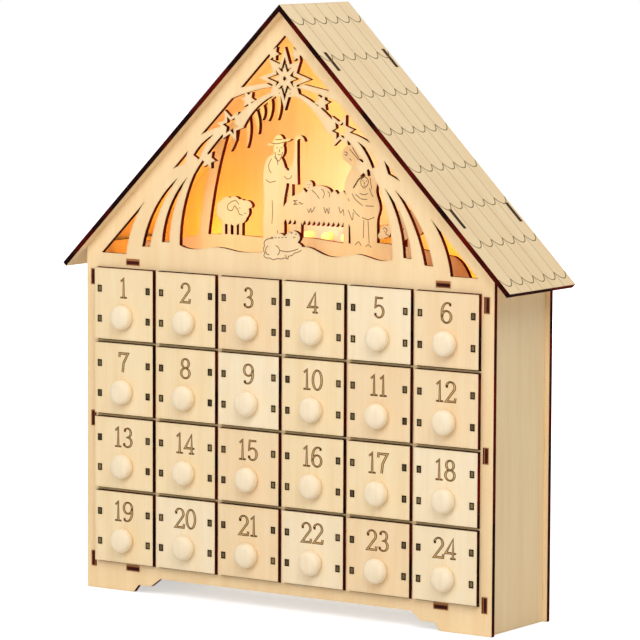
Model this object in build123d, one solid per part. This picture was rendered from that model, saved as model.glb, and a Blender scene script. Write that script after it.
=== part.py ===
from build123d import *
import os
from math import cos, pi, radians, sin, tan

# A house-shaped advent calendar of laser-cut plywood, in millimetres.
# While it is drawn, x runs to the right, y runs back from the front panel's face and z runs up.

# Boards and fits
ply = 3.0                     # thickness of every board
fit_gap = 0.1                 # play round a tab in its slot
slide_gap = 0.3               # running clearance of a moving piece
cut_overrun = 1.0             # how far a cut runs past the face that it opens

# Drawers, counted from the top left
columns = 6
rows = 4
front_width = 43.4
column_gap = 2.6              # between neighbouring fronts, side by side
row_gap = 2.3                 # between neighbouring fronts, one above the other
front_reveal = 0.3            # between a closed front and the panel
front_lap = 0.9               # a front hangs this far below the shelf that carries its box
box_inset = 2.2               # from a front's edge to the box side
box_height = 37.5
box_head_room = 4.3           # between a box and the shelf above it
box_back_room = 2.3           # free depth behind a closed drawer
drawer_tab_height = 4.0
drawer_tab_shares = (0.29, 0.776)   # heights of the side tabs on the box

# Turned knobs
knob_diameter = 14.8
knob_height = 6.5
knob_rim_height = 2.6         # where the knob is widest, above the front
knob_neck_diameter = 10.6
knob_tenon_diameter = 4.0
knob_drop = 7.6               # from a front's middle down to the knob

# Case
case_depth = 63.3             # over the front and back panels
wall_margin = 1.0             # between the outer columns and the side walls
panel_lip = 3.0               # the panels stand out past the walls
floor_height = 12.5           # underside of the floor board
opening_side_gap = 0.5        # between a box and the edge of its opening in the panel
opening_head_gap = 0.8
gable_head_room = 2.1         # between the top row's pitch and the gable floor
wall_tab_height = 9.5
wall_tab_shares = (0.085, 0.494, 0.903)
floor_tab_width = 10.0
floor_tab_share = 0.795

# Feet of the front and back panels
foot_toe = 35.0               # flat that stands on the table
foot_ramp_run = 3.7
foot_step_height = 4.5
foot_step_run = 9.3
foot_rise_run = 7.0
foot_height = 9.7

# Roof
roof_pitch = 45.0             # degrees
shoulder_rise = 6.2           # from the gable floor up to the panel's shoulder
eave_overhang = 11.7
roof_front_overhang = 5.9
roof_back_overhang = 2.3
roof_tab_length = 14.5
roof_tab_shares = (0.208, 0.805)

# Fretwork of the gable
border_width = 9.7
ledge_rise = 3.6              # from the gable floor up to the fretwork's ledge
star_reach = 18.5             # upright and level points of the big star
star_diagonal_reach = 15.5
star_notch_radius = 9.0
arch_star_reach = 10.0
low_star_reach = 5.8
spark_reach = 5.4
peak_spark_reach = 4.6
notch_share = 0.5             # a small star's notches, of its reach
star_ring_share = 0.68        # the cut-out ring in the big star, of the star
star_core_share = 0.46        # the star left standing in that ring
arch_star_hole_share = 0.57   # the hole in an arch star, of the star
star_eye_radius = 1.7
star_bridge_width = 2.4       # holds the core in the ring
star_points = 8
spark_points = 6
arch_star_turn = -25          # degrees, for the right-hand side

# Figure plate
scene_setback = 17.0          # from the front panel's back face
hill_height = 17.6
scene_tab_width = 10.0
scene_tab_share = 0.45
herder_height = 60.5
herder_width = 17.0
crook_width = 1.9
crook_hook_radius = 3.6
sheep_length = 20.0
sheep_wool_radius = 4.4
sheep_neck_width = 5.0
sheep_leg_width = 2.3
manger_length = 52.0
manger_height = 26.5
manger_leg_width = 3.6
child_head_radius = 2.9
kneeler_height = 41.6
kneeler_width = 19.0
veil_slit_width = 0.8         # between the kneeling figure's veil and the donkey behind it
lamb_length = 25.0
lamb_wool_radius = 5.0
palm_trunk_width = 7.0
palm_rib_width = 3.4
palm_rib_tip_width = 1.4
palm_leaf_width = 3.0

# Light unit in the back panel
cell_diameter = 10.5
cell_length = 43.3
cell_nub_diameter = 3.8
cell_nub_length = 1.2
cell_gap = 0.3
cells = 2
contact_room = 0.8            # at each end of the cells
case_wall = 1.5
cover_gap = 0.2
cover_grip_radius = 4.5
cover_grip_depth = 1.2
switch_bay_width = 8.5
switch_bay_height = 9.0
switch_travel = 3.0
switch_stem_width = 2.6
switch_stem_height = 3.6
switch_stem_reach = 1.6       # the stem stands this far out of the panel
switch_flange_width = 4.6
switch_flange_height = 5.6
switch_flange_thickness = 1.4
lamps = 3
lamp_pitch = 14.0
lamp_height = 17.0            # above the gable floor
lamp_diameter = 5.0
lamp_flange_diameter = 5.8
lamp_flange_thickness = 1.0
lamp_length = 7.6

# Sizes that follow
column_pitch = front_width + column_gap
row_pitch = slide_gap + box_height + box_head_room + ply
front_height = row_pitch - row_gap
box_width = front_width - 2 * box_inset
box_length = case_depth - ply - box_back_room + front_reveal
wall_inner = columns * column_pitch / 2 + wall_margin
wall_outer = wall_inner + ply
panel_half = wall_outer + panel_lip
floor_top = floor_height + ply
shelf_top = floor_top + ply
gable_floor = floor_top + rows * row_pitch + gable_head_room
gable_floor_top = gable_floor + ply
shoulder = gable_floor_top + shoulder_rise
pitch_cos = cos(radians(roof_pitch))
pitch_sin = sin(radians(roof_pitch))
pitch_tan = tan(radians(roof_pitch))
peak = shoulder + panel_half * pitch_tan
ridge = peak + ply / pitch_cos
slope_length = panel_half / pitch_cos
roof_length = (panel_half + eave_overhang) / pitch_cos
wall_top = peak - wall_outer * pitch_tan - fit_gap
opening_width = box_width + 2 * opening_side_gap
opening_height = slide_gap + box_height + opening_head_gap
ledge = gable_floor_top + ledge_rise
gable_peak = peak - border_width / pitch_cos
gable_rise = gable_peak - ledge
gable_half = gable_rise / pitch_tan
scene_face = ply + scene_setback
ground = gable_floor_top + hill_height
front_face = -front_reveal - ply
cell_bay_length = cell_length + cell_nub_length + 2 * contact_room
cell_bay_height = cells * cell_diameter + (cells + 1) * cell_gap
cell_bay_depth = cell_diameter + 2 * cell_gap
unit_length = cell_bay_length + switch_bay_width + 3 * case_wall
unit_height = cell_bay_height + 2 * case_wall
unit_face = case_depth - ply - cell_bay_depth - case_wall
cell_bay_left = -unit_length / 2 + case_wall
switch_bay_left = cell_bay_left + cell_bay_length + case_wall
unit_middle_height = gable_floor_top + unit_height / 2
middle_depth = (case_depth + roof_back_overhang + front_face - knob_height) / 2


# Drawing helpers. Upright boards are drawn as (x, z) outlines.
def outline(points):
    return make_face(Polyline(*points, close=True))


def smooth(points):
    return make_face(Spline(*points, periodic=True))


def bar(left, right, low, high):
    return Pos((left + right) / 2, (low + high) / 2) * Rectangle(right - left, high - low)


def mirrored(points):
    return [(-x, z) for x, z in reversed(points)]


def both_sides(face):
    return face + mirror(face, about=Plane.YZ)


def upright(face, front, thickness=ply):
    """A board that faces the front, with its front face at depth `front`."""
    return Pos(0, front + thickness, 0) * Rot(90, 0, 0) * extrude(face, thickness)


def sideways(face, left, thickness=ply):
    """A board that faces sideways, from a (y, z) outline, with its left face at `left`."""
    return Pos(left, 0, 0) * extrude(Plane.YZ * face, thickness)


def level(face, low, thickness=ply):
    """A board that lies flat, from an (x, y) outline, with its underside at `low`."""
    return Pos(0, 0, low) * extrude(face, thickness)


def oval(shares, size, other_size=None):
    """An oval whose half width and half height are shares of one size, or of two."""
    return Ellipse(shares[0] * size, shares[1] * (other_size or size))


def beside(place, shares, width, height):
    """A point that lies shares of a width and a height away from a place."""
    return (place[0] + shares[0] * width, place[1] + shares[1] * height)


def group(*pieces):
    return Compound([solid for piece in pieces for solid in piece.solids()])


def save(name, shape):
    """Writes one node, moved so that the origin is under the middle of the whole part."""
    export_step(Pos(0, -middle_depth, 0) * shape, f"parts/{name}.step")


# Places of the drawer grid
def column_middle(column):
    return (column - (columns - 1) / 2) * column_pitch


def row_shelf_top(row):
    return shelf_top + (rows - 1 - row) * row_pitch


def front_bottom(row):
    return row_shelf_top(row) - front_lap


# Outlines that the boards share
def star(place, reach, notch, points, other_reach=None, turn=0):
    """A star with one point up, unless it is turned. Every second point may have its own reach."""
    reaches = (reach, notch, other_reach or reach, notch)
    corners = []
    for step in range(2 * points):
        angle = pi / 2 + radians(turn) + step * pi / points
        length = reaches[step % 4]
        corners.append((place[0] + length * cos(angle), place[1] + length * sin(angle)))
    return outline(corners)


def roof_tabs(gap=0):
    """Tabs along both roof edges of a panel, or the cuts for them where a gap is given."""
    tall = 2 * ply + (2 * cut_overrun if gap else 0)
    tabs = Sketch()
    for share in roof_tab_shares:
        tab = Pos(share * slope_length, 0) * Rectangle(roof_tab_length + 2 * gap, tall)
        tabs += Pos(0, peak) * Rot(0, 0, -roof_pitch) * tab
    return both_sides(tabs)


def house():
    """Outline of the front and back panels with their feet and roof tabs."""
    toe = panel_half - foot_toe
    ramp = toe - foot_ramp_run
    step = ramp - foot_step_run
    right = [
        (step - foot_rise_run, foot_height), (step, foot_step_height), (ramp, foot_step_height),
        (toe, 0), (panel_half, 0), (panel_half, shoulder),
    ]
    return outline([*right, (0, peak), *mirrored(right)]) + roof_tabs()


def panel_slots():
    """Slots in a panel for the tabs of the side walls, the floor and the gable floor."""
    slots = Sketch()
    half_height = wall_tab_height / 2 + fit_gap
    for share in wall_tab_shares:
        middle = share * wall_top
        slots += bar(wall_inner - fit_gap, wall_outer + fit_gap, middle - half_height, middle + half_height)
    half_width = floor_tab_width / 2 + fit_gap
    tab_middle = floor_tab_share * wall_inner
    for low in (floor_height, gable_floor):
        slots += bar(tab_middle - half_width, tab_middle + half_width, low - fit_gap, low + ply + fit_gap)
    return both_sides(slots)


# Fretwork. Shares are of the gable opening's half width and rise, for the right-hand side.
def at_gable(share):
    return (share[0] * gable_half, ledge + share[1] * gable_rise)


def arc(start, middle, end):
    return ThreePointArc(at_gable(start), at_gable(middle), at_gable(end))


def flip(share):
    return (-share[0], share[1])


def arcs(*runs):
    """Arcs up the right-hand side and down the left, with straight lines from one run to the next."""
    sides = []
    end = None
    for run in runs:
        for turned in (run, [flip(share) for share in run]):
            sides.append(arc(*turned))
        if end and end != run[0]:
            sides.append(Line(at_gable(end), at_gable(run[0])))
            sides.append(Line(at_gable(flip(end)), at_gable(flip(run[0]))))
        end = run[-1]
    return sides


star_middle_share = (0, 0.812)
spark_place_share = (0.195, 0.715)
arch_star_place_share = (0.29, 0.598)
low_star_place_share = (0.412, 0.443)
peak_spark_place_share = (0.062, 0.92)

# Each slit: inner foot, outer foot, tip, middle of the inner edge, middle of the outer edge
slit_shares = (
    ((0.622, 0.066), (0.664, 0.064), (0.523, 0.361), (0.594, 0.221), (0.62, 0.227)),
    ((0.73, 0.04), (0.774, 0.038), (0.576, 0.355), (0.673, 0.207), (0.703, 0.215)),
    ((0.46, 0.441), (0.492, 0.459), (0.382, 0.555), (0.425, 0.505), (0.449, 0.509)),
)
corner_shares = ((0.862, 0), (0.829, 0.125), (0.76, 0.24))
arch_low_shares = ((0.566, 0.056), (0.545, 0.228), (0.49, 0.372))
arch_side_shares = ((0.49, 0.372), (0.41, 0.476), (0.335, 0.555))
arch_top_shares = ((0.22, 0.592), (0.15, 0.68), (0.07, 0.733))
crescent_tip_shares = ((0.449, 0.551), (0.4, 0.573), (0.345, 0.59))
crescent_root_shares = ((0.25, 0.643), (0.165, 0.706), (0.08, 0.747))
front_ground_shares = (
    (-0.566, 0.056), (-0.48, 0.042), (-0.36, 0.058), (-0.24, 0.044), (-0.12, 0.05), (0.0, 0.06),
    (0.13, 0.084), (0.2, 0.06), (0.28, 0.05), (0.39, 0.068), (0.48, 0.05), (0.566, 0.056),
)

# Chips cut into the border beside the lowest star
chip_shares = ((0.52, 0.478), (0.541, 0.422), (0.602, 0.394))
# The star's tail: lower edge, then the border, then the upper edge back to the star
tail_shares = ((0.06, 0.775), (0.171, 0.753), (0.292, 0.713), (0.27, 0.74), (0.24, 0.765), (0.1, 0.79))


def slits():
    """Slits between the ray bands, and the corner beside the lowest band."""
    cuts = Sketch()
    for inner, outer, tip, inner_middle, outer_middle in slit_shares:
        foot = Line(at_gable(inner), at_gable(outer))
        sides = [foot, arc(outer, outer_middle, tip), arc(tip, inner_middle, inner)]
        cuts += make_face(sides)
    inner, middle, tip = corner_shares
    corner = [Polyline(at_gable(inner), at_gable((1, 0)), at_gable(tip)), arc(tip, middle, inner)]
    chip = outline([at_gable(share) for share in chip_shares])
    return both_sides(cuts + make_face(corner) + chip)


def arch():
    """The main opening under the star arch, down to the rolling ground."""
    top = arch_top_shares[-1]
    ground_line = Spline(*[at_gable(share) for share in front_ground_shares])
    sides = arcs(arch_low_shares, arch_side_shares, arch_top_shares)
    return make_face([ground_line, *sides, Line(at_gable(flip(top)), at_gable(top))])


def crescent():
    """The opening between the star arch and the border, round the peak."""
    tip, root = crescent_tip_shares[0], crescent_root_shares[-1]
    border = Polyline(at_gable(tip), at_gable((0, 1)), at_gable(flip(tip)))
    sides = arcs(crescent_tip_shares, crescent_root_shares)
    return make_face([border, *sides, Line(at_gable(flip(root)), at_gable(root))])


def tail():
    """The big star's tail, which bends down into the border."""
    lower = [at_gable(share) for share in tail_shares[:3]]
    upper = [at_gable(share) for share in tail_shares[2:]]
    return make_face([ThreePointArc(*lower), Polyline(*upper, lower[0])])


def big_star():
    middle = at_gable(star_middle_share)
    return star(middle, star_reach, star_notch_radius, star_points, star_diagonal_reach)


def small_star(place, reach):
    return star(at_gable(place), reach, notch_share * reach, spark_points, turn=arch_star_turn)


def star_cuts():
    """Ring and eye cut out of the big star, and the arch stars' holes. Bridges hold the core."""
    middle = at_gable(star_middle_share)

    def inner(share):
        return star(middle, share * star_reach, share * star_notch_radius, star_points,
                    share * star_diagonal_reach)

    ring = inner(star_ring_share) - inner(star_core_share)
    for turn in (45, 135):
        ring -= Pos(*middle) * Rot(0, 0, turn) * Rectangle(2 * star_reach, star_bridge_width)
    eye = star(middle, star_eye_radius, notch_share * star_eye_radius, spark_points)
    return ring + eye + both_sides(small_star(arch_star_place_share, arch_star_hole_share * arch_star_reach))


def fretwork():
    """What stands in the gable's openings: stars and tails."""
    small_stars = (
        (arch_star_place_share, arch_star_reach), (low_star_place_share, low_star_reach),
        (peak_spark_place_share, peak_spark_reach), (spark_place_share, spark_reach),
    )
    stars = Sketch()
    for place, reach in small_stars:
        stars += small_star(place, reach)
    return both_sides(stars + tail()) + big_star()


fleece_rise_share = 1.5       # half height of a fleece, of its puffs
lamb_puffs = 7
lamb_place_share = -0.01
lamb_head_shares = (0.3, 1.6)   # from the fleece's middle, of the length and of the puffs
lamb_face_shares = (1.0, 0.75)  # of the puffs
lamb_ear_shares = (0.7, 0.3)
lamb_ear_back_share = 0.8
lamb_ear_tilt = 30              # degrees


def woolly(middle, length, radius, puffs):
    """A fleece outline: puffs set round an oval."""
    fleece = Pos(*middle) * Ellipse(length / 2, fleece_rise_share * radius)
    for puff in range(puffs):
        turn = 2 * pi * puff / puffs
        place = (middle[0] + (length / 2 - radius / 2) * cos(turn), middle[1] + radius * sin(turn))
        fleece += Pos(*place) * Circle(radius)
    return fleece


def lamb():
    """The lamb that lies on the front panel's ground."""
    middle = (lamb_place_share * gable_half, ledge + ledge_rise + lamb_wool_radius)
    head = beside(middle, lamb_head_shares, lamb_length, lamb_wool_radius)
    face = Pos(*head) * oval(lamb_face_shares, lamb_wool_radius)
    root = head[0] - lamb_ear_back_share * lamb_wool_radius
    ear = Pos(root, head[1]) * Rot(0, 0, lamb_ear_tilt) * oval(lamb_ear_shares, lamb_wool_radius)
    return woolly(middle, lamb_length, lamb_wool_radius, lamb_puffs) + face + ear


# Figures on the plate. Shares are of each figure's width and height, from its middle and its feet.
herder_place_share = -0.155
standing_sheep_shares = (-0.385, 0)   # place, of the gable, and foot below the ground, of the hill
grazing_sheep_shares = (0.538, -0.108)
manger_place_share = 0.075
kneeler_place_share = 0.328
palm_trunk_shares = ((-0.546, 0.08), (-0.522, 0.24), (-0.478, 0.43), (-0.435, 0.56))
palm_rib_shares = ((-0.45, 0.545), (-0.1, 0.765))
# Leaves that hang from the rib: root, then tip
palm_leaf_shares = (
    ((-0.37, 0.59), (-0.395, 0.47)), ((-0.306, 0.63), (-0.306, 0.489)), ((-0.269, 0.66), (-0.246, 0.552)),
    ((-0.232, 0.685), (-0.226, 0.615)), ((-0.187, 0.712), (-0.193, 0.612)), ((-0.142, 0.74), (-0.142, 0.618)),
)
hill_shares = (
    (-0.97, 0), (-0.95, 0.35), (-0.8, 0.6), (-0.6, 0.85), (-0.45, 0.98), (-0.2, 0.96), (0.05, 1.03),
    (0.22, 0.94), (0.4, 1.02), (0.52, 0.96), (0.64, 0.88), (0.72, 0.77), (0.785, 0.73), (0.815, 0.6),
    (0.845, 0.33), (0.868, 0),
)
herder_robe_shares = (
    (-0.5, 0.0), (-0.52, 0.12), (-0.46, 0.36), (-0.5, 0.56), (-0.44, 0.7), (-0.22, 0.79), (0.2, 0.79),
    (0.4, 0.7), (0.5, 0.56), (0.42, 0.42), (0.36, 0.3), (0.4, 0.1), (0.38, 0.0),
)
herder_head_place_shares = (0.16, 0.85)
herder_head_shares = (0.06375, 0.0825)  # of the figure's height
hat_brim_height_share = 0.925
hat_brim_shares = (0.52, 0.018)       # of the figure's width and height
hat_crown_shares = (0.06, 0.075)      # of the figure's height
hat_tilt = 13                         # degrees
sheep_puffs = 9
sheep_belly_share = 2.2               # these are of the puffs
sheep_back_share = 0.95
sheep_neck_share = 0.3                # of the length
standing_head_shares = (0.38, 1.45)   # of the length and of the puffs
grazing_head_shares = (0.725, -0.1)
sheep_skull_share = 0.85
standing_ear_shares = (0.75, 0.5)     # where the ear or muzzle stands out of the head
grazing_muzzle_shares = (0.4, -0.5)
sheep_muzzle_shares = (0.8, 0.5)
sheep_muzzle_tilt = -20               # degrees
sheep_leg_shares = (-0.33, -0.12, 0.1, 0.3)
hay_blades = 15
hay_straws = 6
# The heap of hay, from its left foot over the top to its right foot, of half the manger and its height
hay_left_shares = ((-1.02, 0.41), (-0.96, 0.66), (-0.88, 0.77), (-0.735, 0.913), (-0.49, 1.03))
hay_right_shares = ((0.82, 0.94), (0.99, 0.55), (0.96, 0.41))
hay_blade_share = 0.11                # these are of the manger's height
hay_straw_share = 0.12
straw_shares = (0.35, 0.75)           # a straw's tip and the dip beside it, of a straw's width
manger_leg_shares = (-0.53, 0.77)     # of half the manger's length
child_place_shares = (0.06, 0.5)      # of half the manger's length and of the head
child_body_shares = (0.3, 1.3)
child_head_shares = (-0.25, 1.75)
herder_arm_shares = (
    (0.3, 0.69), (0.456, 0.676), (0.56, 0.648), (0.74, 0.726), (0.8, 0.8), (0.93, 0.8), (0.96, 0.519),
    (0.7, 0.527), (0.3, 0.536),
)
crook_shaft_share = 0.88              # the shaft above and below the hand, from the figure's middle
crook_foot_share = 0.67
crook_foot_shares = (0.3, 0.55)       # its ends, of the figure's height
kneeler_robe_shares = (
    (-0.56, 0.0), (-0.58, 0.2), (-0.6, 0.4), (-0.62, 0.6), (-0.5, 0.77), (-0.3, 0.9), (0.03, 1.0),
    (0.24, 0.97), (0.41, 0.87), (0.37, 0.74), (0.44, 0.62), (0.5, 0.47), (0.43, 0.36), (0.41, 0.18),
    (0.41, 0.0),
)
veil_slit_shares = ((0.261, 0.339), (0.288, 0.378), (0.323, 0.4))   # of the gable
# The donkey's outline, of the gable: muzzle, forehead, neck down to the veil and up the throat
donkey_shares = (
    (0.2, 0.49), (0.215, 0.512), (0.246, 0.527), (0.28, 0.518), (0.306, 0.481), (0.329, 0.429),
    (0.344, 0.369), (0.33, 0.29), (0.25, 0.28), (0.216, 0.33), (0.23, 0.391), (0.25, 0.436), (0.22, 0.453),
)


def in_figure(shares, middle, width, height):
    return [(middle + u * width, ground + v * height) for u, v in shares]


def robe(shares, middle, width, height):
    """A robed figure: a smooth outline on a flat foot that reaches into the hill."""
    points = in_figure(shares, middle, width, height)
    body = make_face([Spline(*points), Line(points[-1], points[0])])
    return body + bar(points[0][0], points[-1][0], ground - ply, ground)


def herder():
    """A standing figure in a robe and a brimmed hat, with a crook."""
    middle = herder_place_share * gable_half
    figure = robe(herder_robe_shares, middle, herder_width, herder_height)
    figure += outline(in_figure(herder_arm_shares, middle, herder_width, herder_height))
    head = beside((middle, ground), herder_head_place_shares, herder_width, herder_height)
    hat = Pos(head[0], ground + hat_brim_height_share * herder_height)
    figure += Pos(*head) * oval(herder_head_shares, herder_height)
    figure += hat * Rot(0, 0, hat_tilt) * oval(hat_brim_shares, herder_width, herder_height)
    figure += hat * oval(hat_crown_shares, herder_height)
    shaft = middle + crook_shaft_share * herder_width
    hook = ground + herder_height - crook_hook_radius
    foot = middle + crook_foot_share * herder_width
    low, hand = [ground + share * herder_height for share in crook_foot_shares]
    figure += bar(shaft - crook_width / 2, shaft + crook_width / 2, hand, hook)
    figure += bar(foot - crook_width / 2, foot + crook_width / 2, low, hand)
    bend = Circle(crook_hook_radius) - Circle(crook_hook_radius - crook_width)
    bend -= bar(-crook_hook_radius, crook_hook_radius, -2 * crook_hook_radius, 0)
    return figure + Pos(shaft + crook_hook_radius - crook_width / 2, hook) * bend


def sheep(shares, head_shares, muzzle_shares, facing):
    """A sheep with a puffed fleece that faces right, or left where facing is -1."""
    middle = facing * shares[0] * gable_half
    foot = ground + shares[1] * hill_height
    belly = foot + sheep_belly_share * sheep_wool_radius
    back = (middle, belly + sheep_back_share * sheep_wool_radius)
    figure = woolly(back, sheep_length, sheep_wool_radius, sheep_puffs)
    head = beside((middle, belly), head_shares, sheep_length, sheep_wool_radius)
    neck = (middle + sheep_neck_share * sheep_length, back[1])
    figure += taper(neck, head, sheep_neck_width, sheep_neck_width)
    figure += Pos(*head) * Circle(sheep_skull_share * sheep_wool_radius)
    muzzle = beside(head, muzzle_shares, sheep_wool_radius, sheep_wool_radius)
    figure += Pos(*muzzle) * Rot(0, 0, sheep_muzzle_tilt) * oval(sheep_muzzle_shares, sheep_wool_radius)
    for share in sheep_leg_shares:
        leg = middle + share * sheep_length
        figure += bar(leg - sheep_leg_width / 2, leg + sheep_leg_width / 2, foot - ply, belly)
    return figure if facing > 0 else mirror(figure, about=Plane.YZ)


def manger():
    """A crib heaped with hay on two legs, with a child lying in it."""
    middle = manger_place_share * gable_half
    trough_high = ground + manger_height
    half = manger_length / 2
    left_side = in_figure(hay_left_shares, middle, half, manger_height)
    right_side = in_figure(hay_right_shares, middle, half, manger_height)
    hay = list(left_side)
    straw_left, dip = left_side[-1]
    straw_width = (right_side[0][0] - straw_left) / hay_straws
    tip_share, dip_share = straw_shares
    for straw in range(hay_straws):
        left = straw_left + straw * straw_width
        hay.append((left + tip_share * straw_width, trough_high + hay_straw_share * manger_height))
        hay.append((left + dip_share * straw_width, dip))
    hay += right_side
    foot_right, trough_low = right_side[-1]
    blade_width = (foot_right - left_side[0][0]) / hay_blades
    for blade in range(hay_blades):
        right = foot_right - blade * blade_width
        hay.append((right - blade_width / 2, trough_low - hay_blade_share * manger_height))
        if blade < hay_blades - 1:
            hay.append((right - blade_width, trough_low))
    figure = outline(hay)
    for share in manger_leg_shares:
        leg = middle + share * half
        figure += bar(leg - manger_leg_width / 2, leg + manger_leg_width / 2, ground - ply, trough_high - ply)
    child = beside((middle, trough_high), child_place_shares, half, child_head_radius)
    figure += Pos(*child) * oval(child_body_shares, half, child_head_radius)
    head = beside((middle, trough_high), child_head_shares, half, child_head_radius)
    return figure + Pos(*head) * Circle(child_head_radius)


def kneeler():
    """A veiled figure bowed towards the manger, and the donkey that looks over it."""
    middle = kneeler_place_share * gable_half
    figure = robe(kneeler_robe_shares, middle, kneeler_width, kneeler_height)
    figure += smooth([at_gable(share) for share in donkey_shares])
    low, bend, high = [at_gable(share) for share in veil_slit_shares]
    for root, tip in ((low, bend), (bend, high)):
        figure -= taper(root, tip, veil_slit_width, veil_slit_width)
    return figure


def taper(root, tip, root_width, tip_width):
    """A straight strip from root to tip that changes width."""
    run = Vector(*tip) - Vector(*root)
    across = Vector(-run.Y, run.X).normalized()
    ends = ((root, root_width), (tip, tip_width))
    near = [Vector(*place) + across * width / 2 for place, width in ends]
    far = [Vector(*place) - across * width / 2 for place, width in ends]
    return outline([(corner.X, corner.Y) for corner in [*near, *reversed(far)]])


def leaf(root, tip):
    """A hanging leaf with two bowed edges that meet at its tip."""
    run = Vector(*tip) - Vector(*root)
    across = Vector(-run.Y, run.X).normalized() * palm_leaf_width
    left = Vector(*root) - across / 2
    right = Vector(*root) + across / 2
    middle = Vector(*root) + run / 2 + across / 4
    sides = [
        Line(left, right), ThreePointArc(right, middle + across / 2, Vector(*tip)),
        ThreePointArc(Vector(*tip), middle - across / 3, left),
    ]
    return make_face(sides)


def palm():
    """A leaning palm whose leaves hang behind the left half of the arch."""
    trunk = [Vector(*at_gable(share)) for share in palm_trunk_shares]
    half = Vector(palm_trunk_width / 2, 0)
    left = [place - half for place in trunk]
    right = [place + half for place in trunk]
    sides = [Spline(*left), Line(left[-1], right[-1]), Spline(*reversed(right)), Line(right[0], left[0])]
    rib_root, rib_tip = [at_gable(share) for share in palm_rib_shares]
    figure = make_face(sides) + taper(rib_root, rib_tip, palm_rib_width, palm_rib_tip_width)
    for root, tip in palm_leaf_shares:
        figure += leaf(at_gable(root), at_gable(tip))
    return figure


# The boards
def front_panel():
    face = house() - panel_slots()
    for row in range(rows):
        low = row_shelf_top(row)
        for column in range(columns):
            middle = column_middle(column)
            face -= bar(middle - opening_width / 2, middle + opening_width / 2, low, low + opening_height)
    face = face - arch() - crescent() - slits() + fretwork() + lamb() - star_cuts()
    return upright(face, 0)


def back_panel():
    face = house() - panel_slots()
    low = unit_middle_height - cell_bay_height / 2
    face -= bar(cell_bay_left, cell_bay_left + cell_bay_length, low, low + cell_bay_height)
    half_slot = (switch_stem_width + switch_travel) / 2 + cover_gap
    switch_middle = switch_bay_left + switch_bay_width / 2
    half_height = switch_stem_height / 2 + cover_gap
    face -= bar(switch_middle - half_slot, switch_middle + half_slot,
                unit_middle_height - half_height, unit_middle_height + half_height)
    return upright(face, case_depth - ply)


def side_wall(left):
    face = bar(ply, case_depth - ply, 0, wall_top)
    for share in wall_tab_shares:
        middle = share * wall_top
        face += bar(0, case_depth, middle - wall_tab_height / 2, middle + wall_tab_height / 2)
    return sideways(face, left)


def roof_board(right):
    """A roof board. The right one runs up over the left one's edge at the ridge."""
    lap = ply / sin(radians(2 * roof_pitch))
    lap_point = (-lap * pitch_cos, peak + lap * pitch_sin)
    eave_inner = (roof_length * pitch_cos, peak - roof_length * pitch_sin)
    eave_outer = (eave_inner[0] + ply * pitch_sin, eave_inner[1] + ply * pitch_cos)
    if right:
        section = [lap_point, (0, ridge), eave_outer, eave_inner]
    else:
        section = [(0, peak), lap_point, *mirrored([eave_inner, eave_outer])]
    depth = roof_front_overhang + case_depth + roof_back_overhang
    board = upright(outline(section), -roof_front_overhang, depth)
    for front in (0, case_depth - ply):
        board -= upright(roof_tabs(fit_gap), front - fit_gap, ply + 2 * fit_gap)
    return board


def floor_outline():
    """Outline of a board across the case with two tabs through each panel."""
    face = bar(-wall_inner, wall_inner, ply, case_depth - ply)
    for side in (-1, 1):
        middle = side * floor_tab_share * wall_inner
        face += bar(middle - floor_tab_width / 2, middle + floor_tab_width / 2, 0, case_depth)
    return face


def scene_tab_places():
    return [side * scene_tab_share * gable_half for side in (-1, 1)]


def drawer_grid():
    """Floor, gable floor, shelves and dividers. Shelves and dividers are half-lapped."""
    boards = [level(floor_outline(), floor_height)]
    upper_floor = floor_outline()
    for middle in scene_tab_places():
        half = scene_tab_width / 2 + fit_gap
        upper_floor -= bar(middle - half, middle + half, scene_face - fit_gap, scene_face + ply + fit_gap)
    boards.append(level(upper_floor, gable_floor))
    lap_depth = case_depth / 2
    half_slot = ply / 2 + fit_gap
    dividers = [(column - columns / 2) * column_pitch for column in range(1, columns)]
    shelf = bar(-wall_inner, wall_inner, ply, case_depth - ply)
    for middle in dividers:
        shelf -= bar(middle - half_slot, middle + half_slot, lap_depth - fit_gap, case_depth)
    divider = bar(ply, case_depth - ply, floor_top, gable_floor)
    for row in range(rows):
        shelf_middle = row_shelf_top(row) - ply / 2
        divider -= bar(0, lap_depth + fit_gap, shelf_middle - half_slot, shelf_middle + half_slot)
        boards.append(level(shelf, row_shelf_top(row) - ply))
    boards += [sideways(divider, middle - ply / 2) for middle in dividers]
    return group(*boards)


def scene_figures():
    """The plate that stands behind the arch: hill, palm and figures."""
    hill_points = [(u * gable_half, gable_floor_top + v * hill_height) for u, v in hill_shares]
    face = make_face([Spline(*hill_points), Line(hill_points[-1], hill_points[0])])
    face += palm() + herder() + manger() + kneeler()
    face += sheep(standing_sheep_shares, standing_head_shares, standing_ear_shares, 1)
    face += sheep(grazing_sheep_shares, grazing_head_shares, grazing_muzzle_shares, -1)
    for middle in scene_tab_places():
        half = scene_tab_width / 2
        face += bar(middle - half, middle + half, gable_floor, gable_floor_top + ply)
    return upright(face, scene_face)


# Drawers and knobs
def drawer_tabs(low, gap=0):
    """Heights of a box side's tabs, or of the slots for them where a gap is given."""
    spans = []
    for share in drawer_tab_shares:
        middle = low + share * box_height
        spans.append((middle - drawer_tab_height / 2 - gap, middle + drawer_tab_height / 2 + gap))
    return spans


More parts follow.
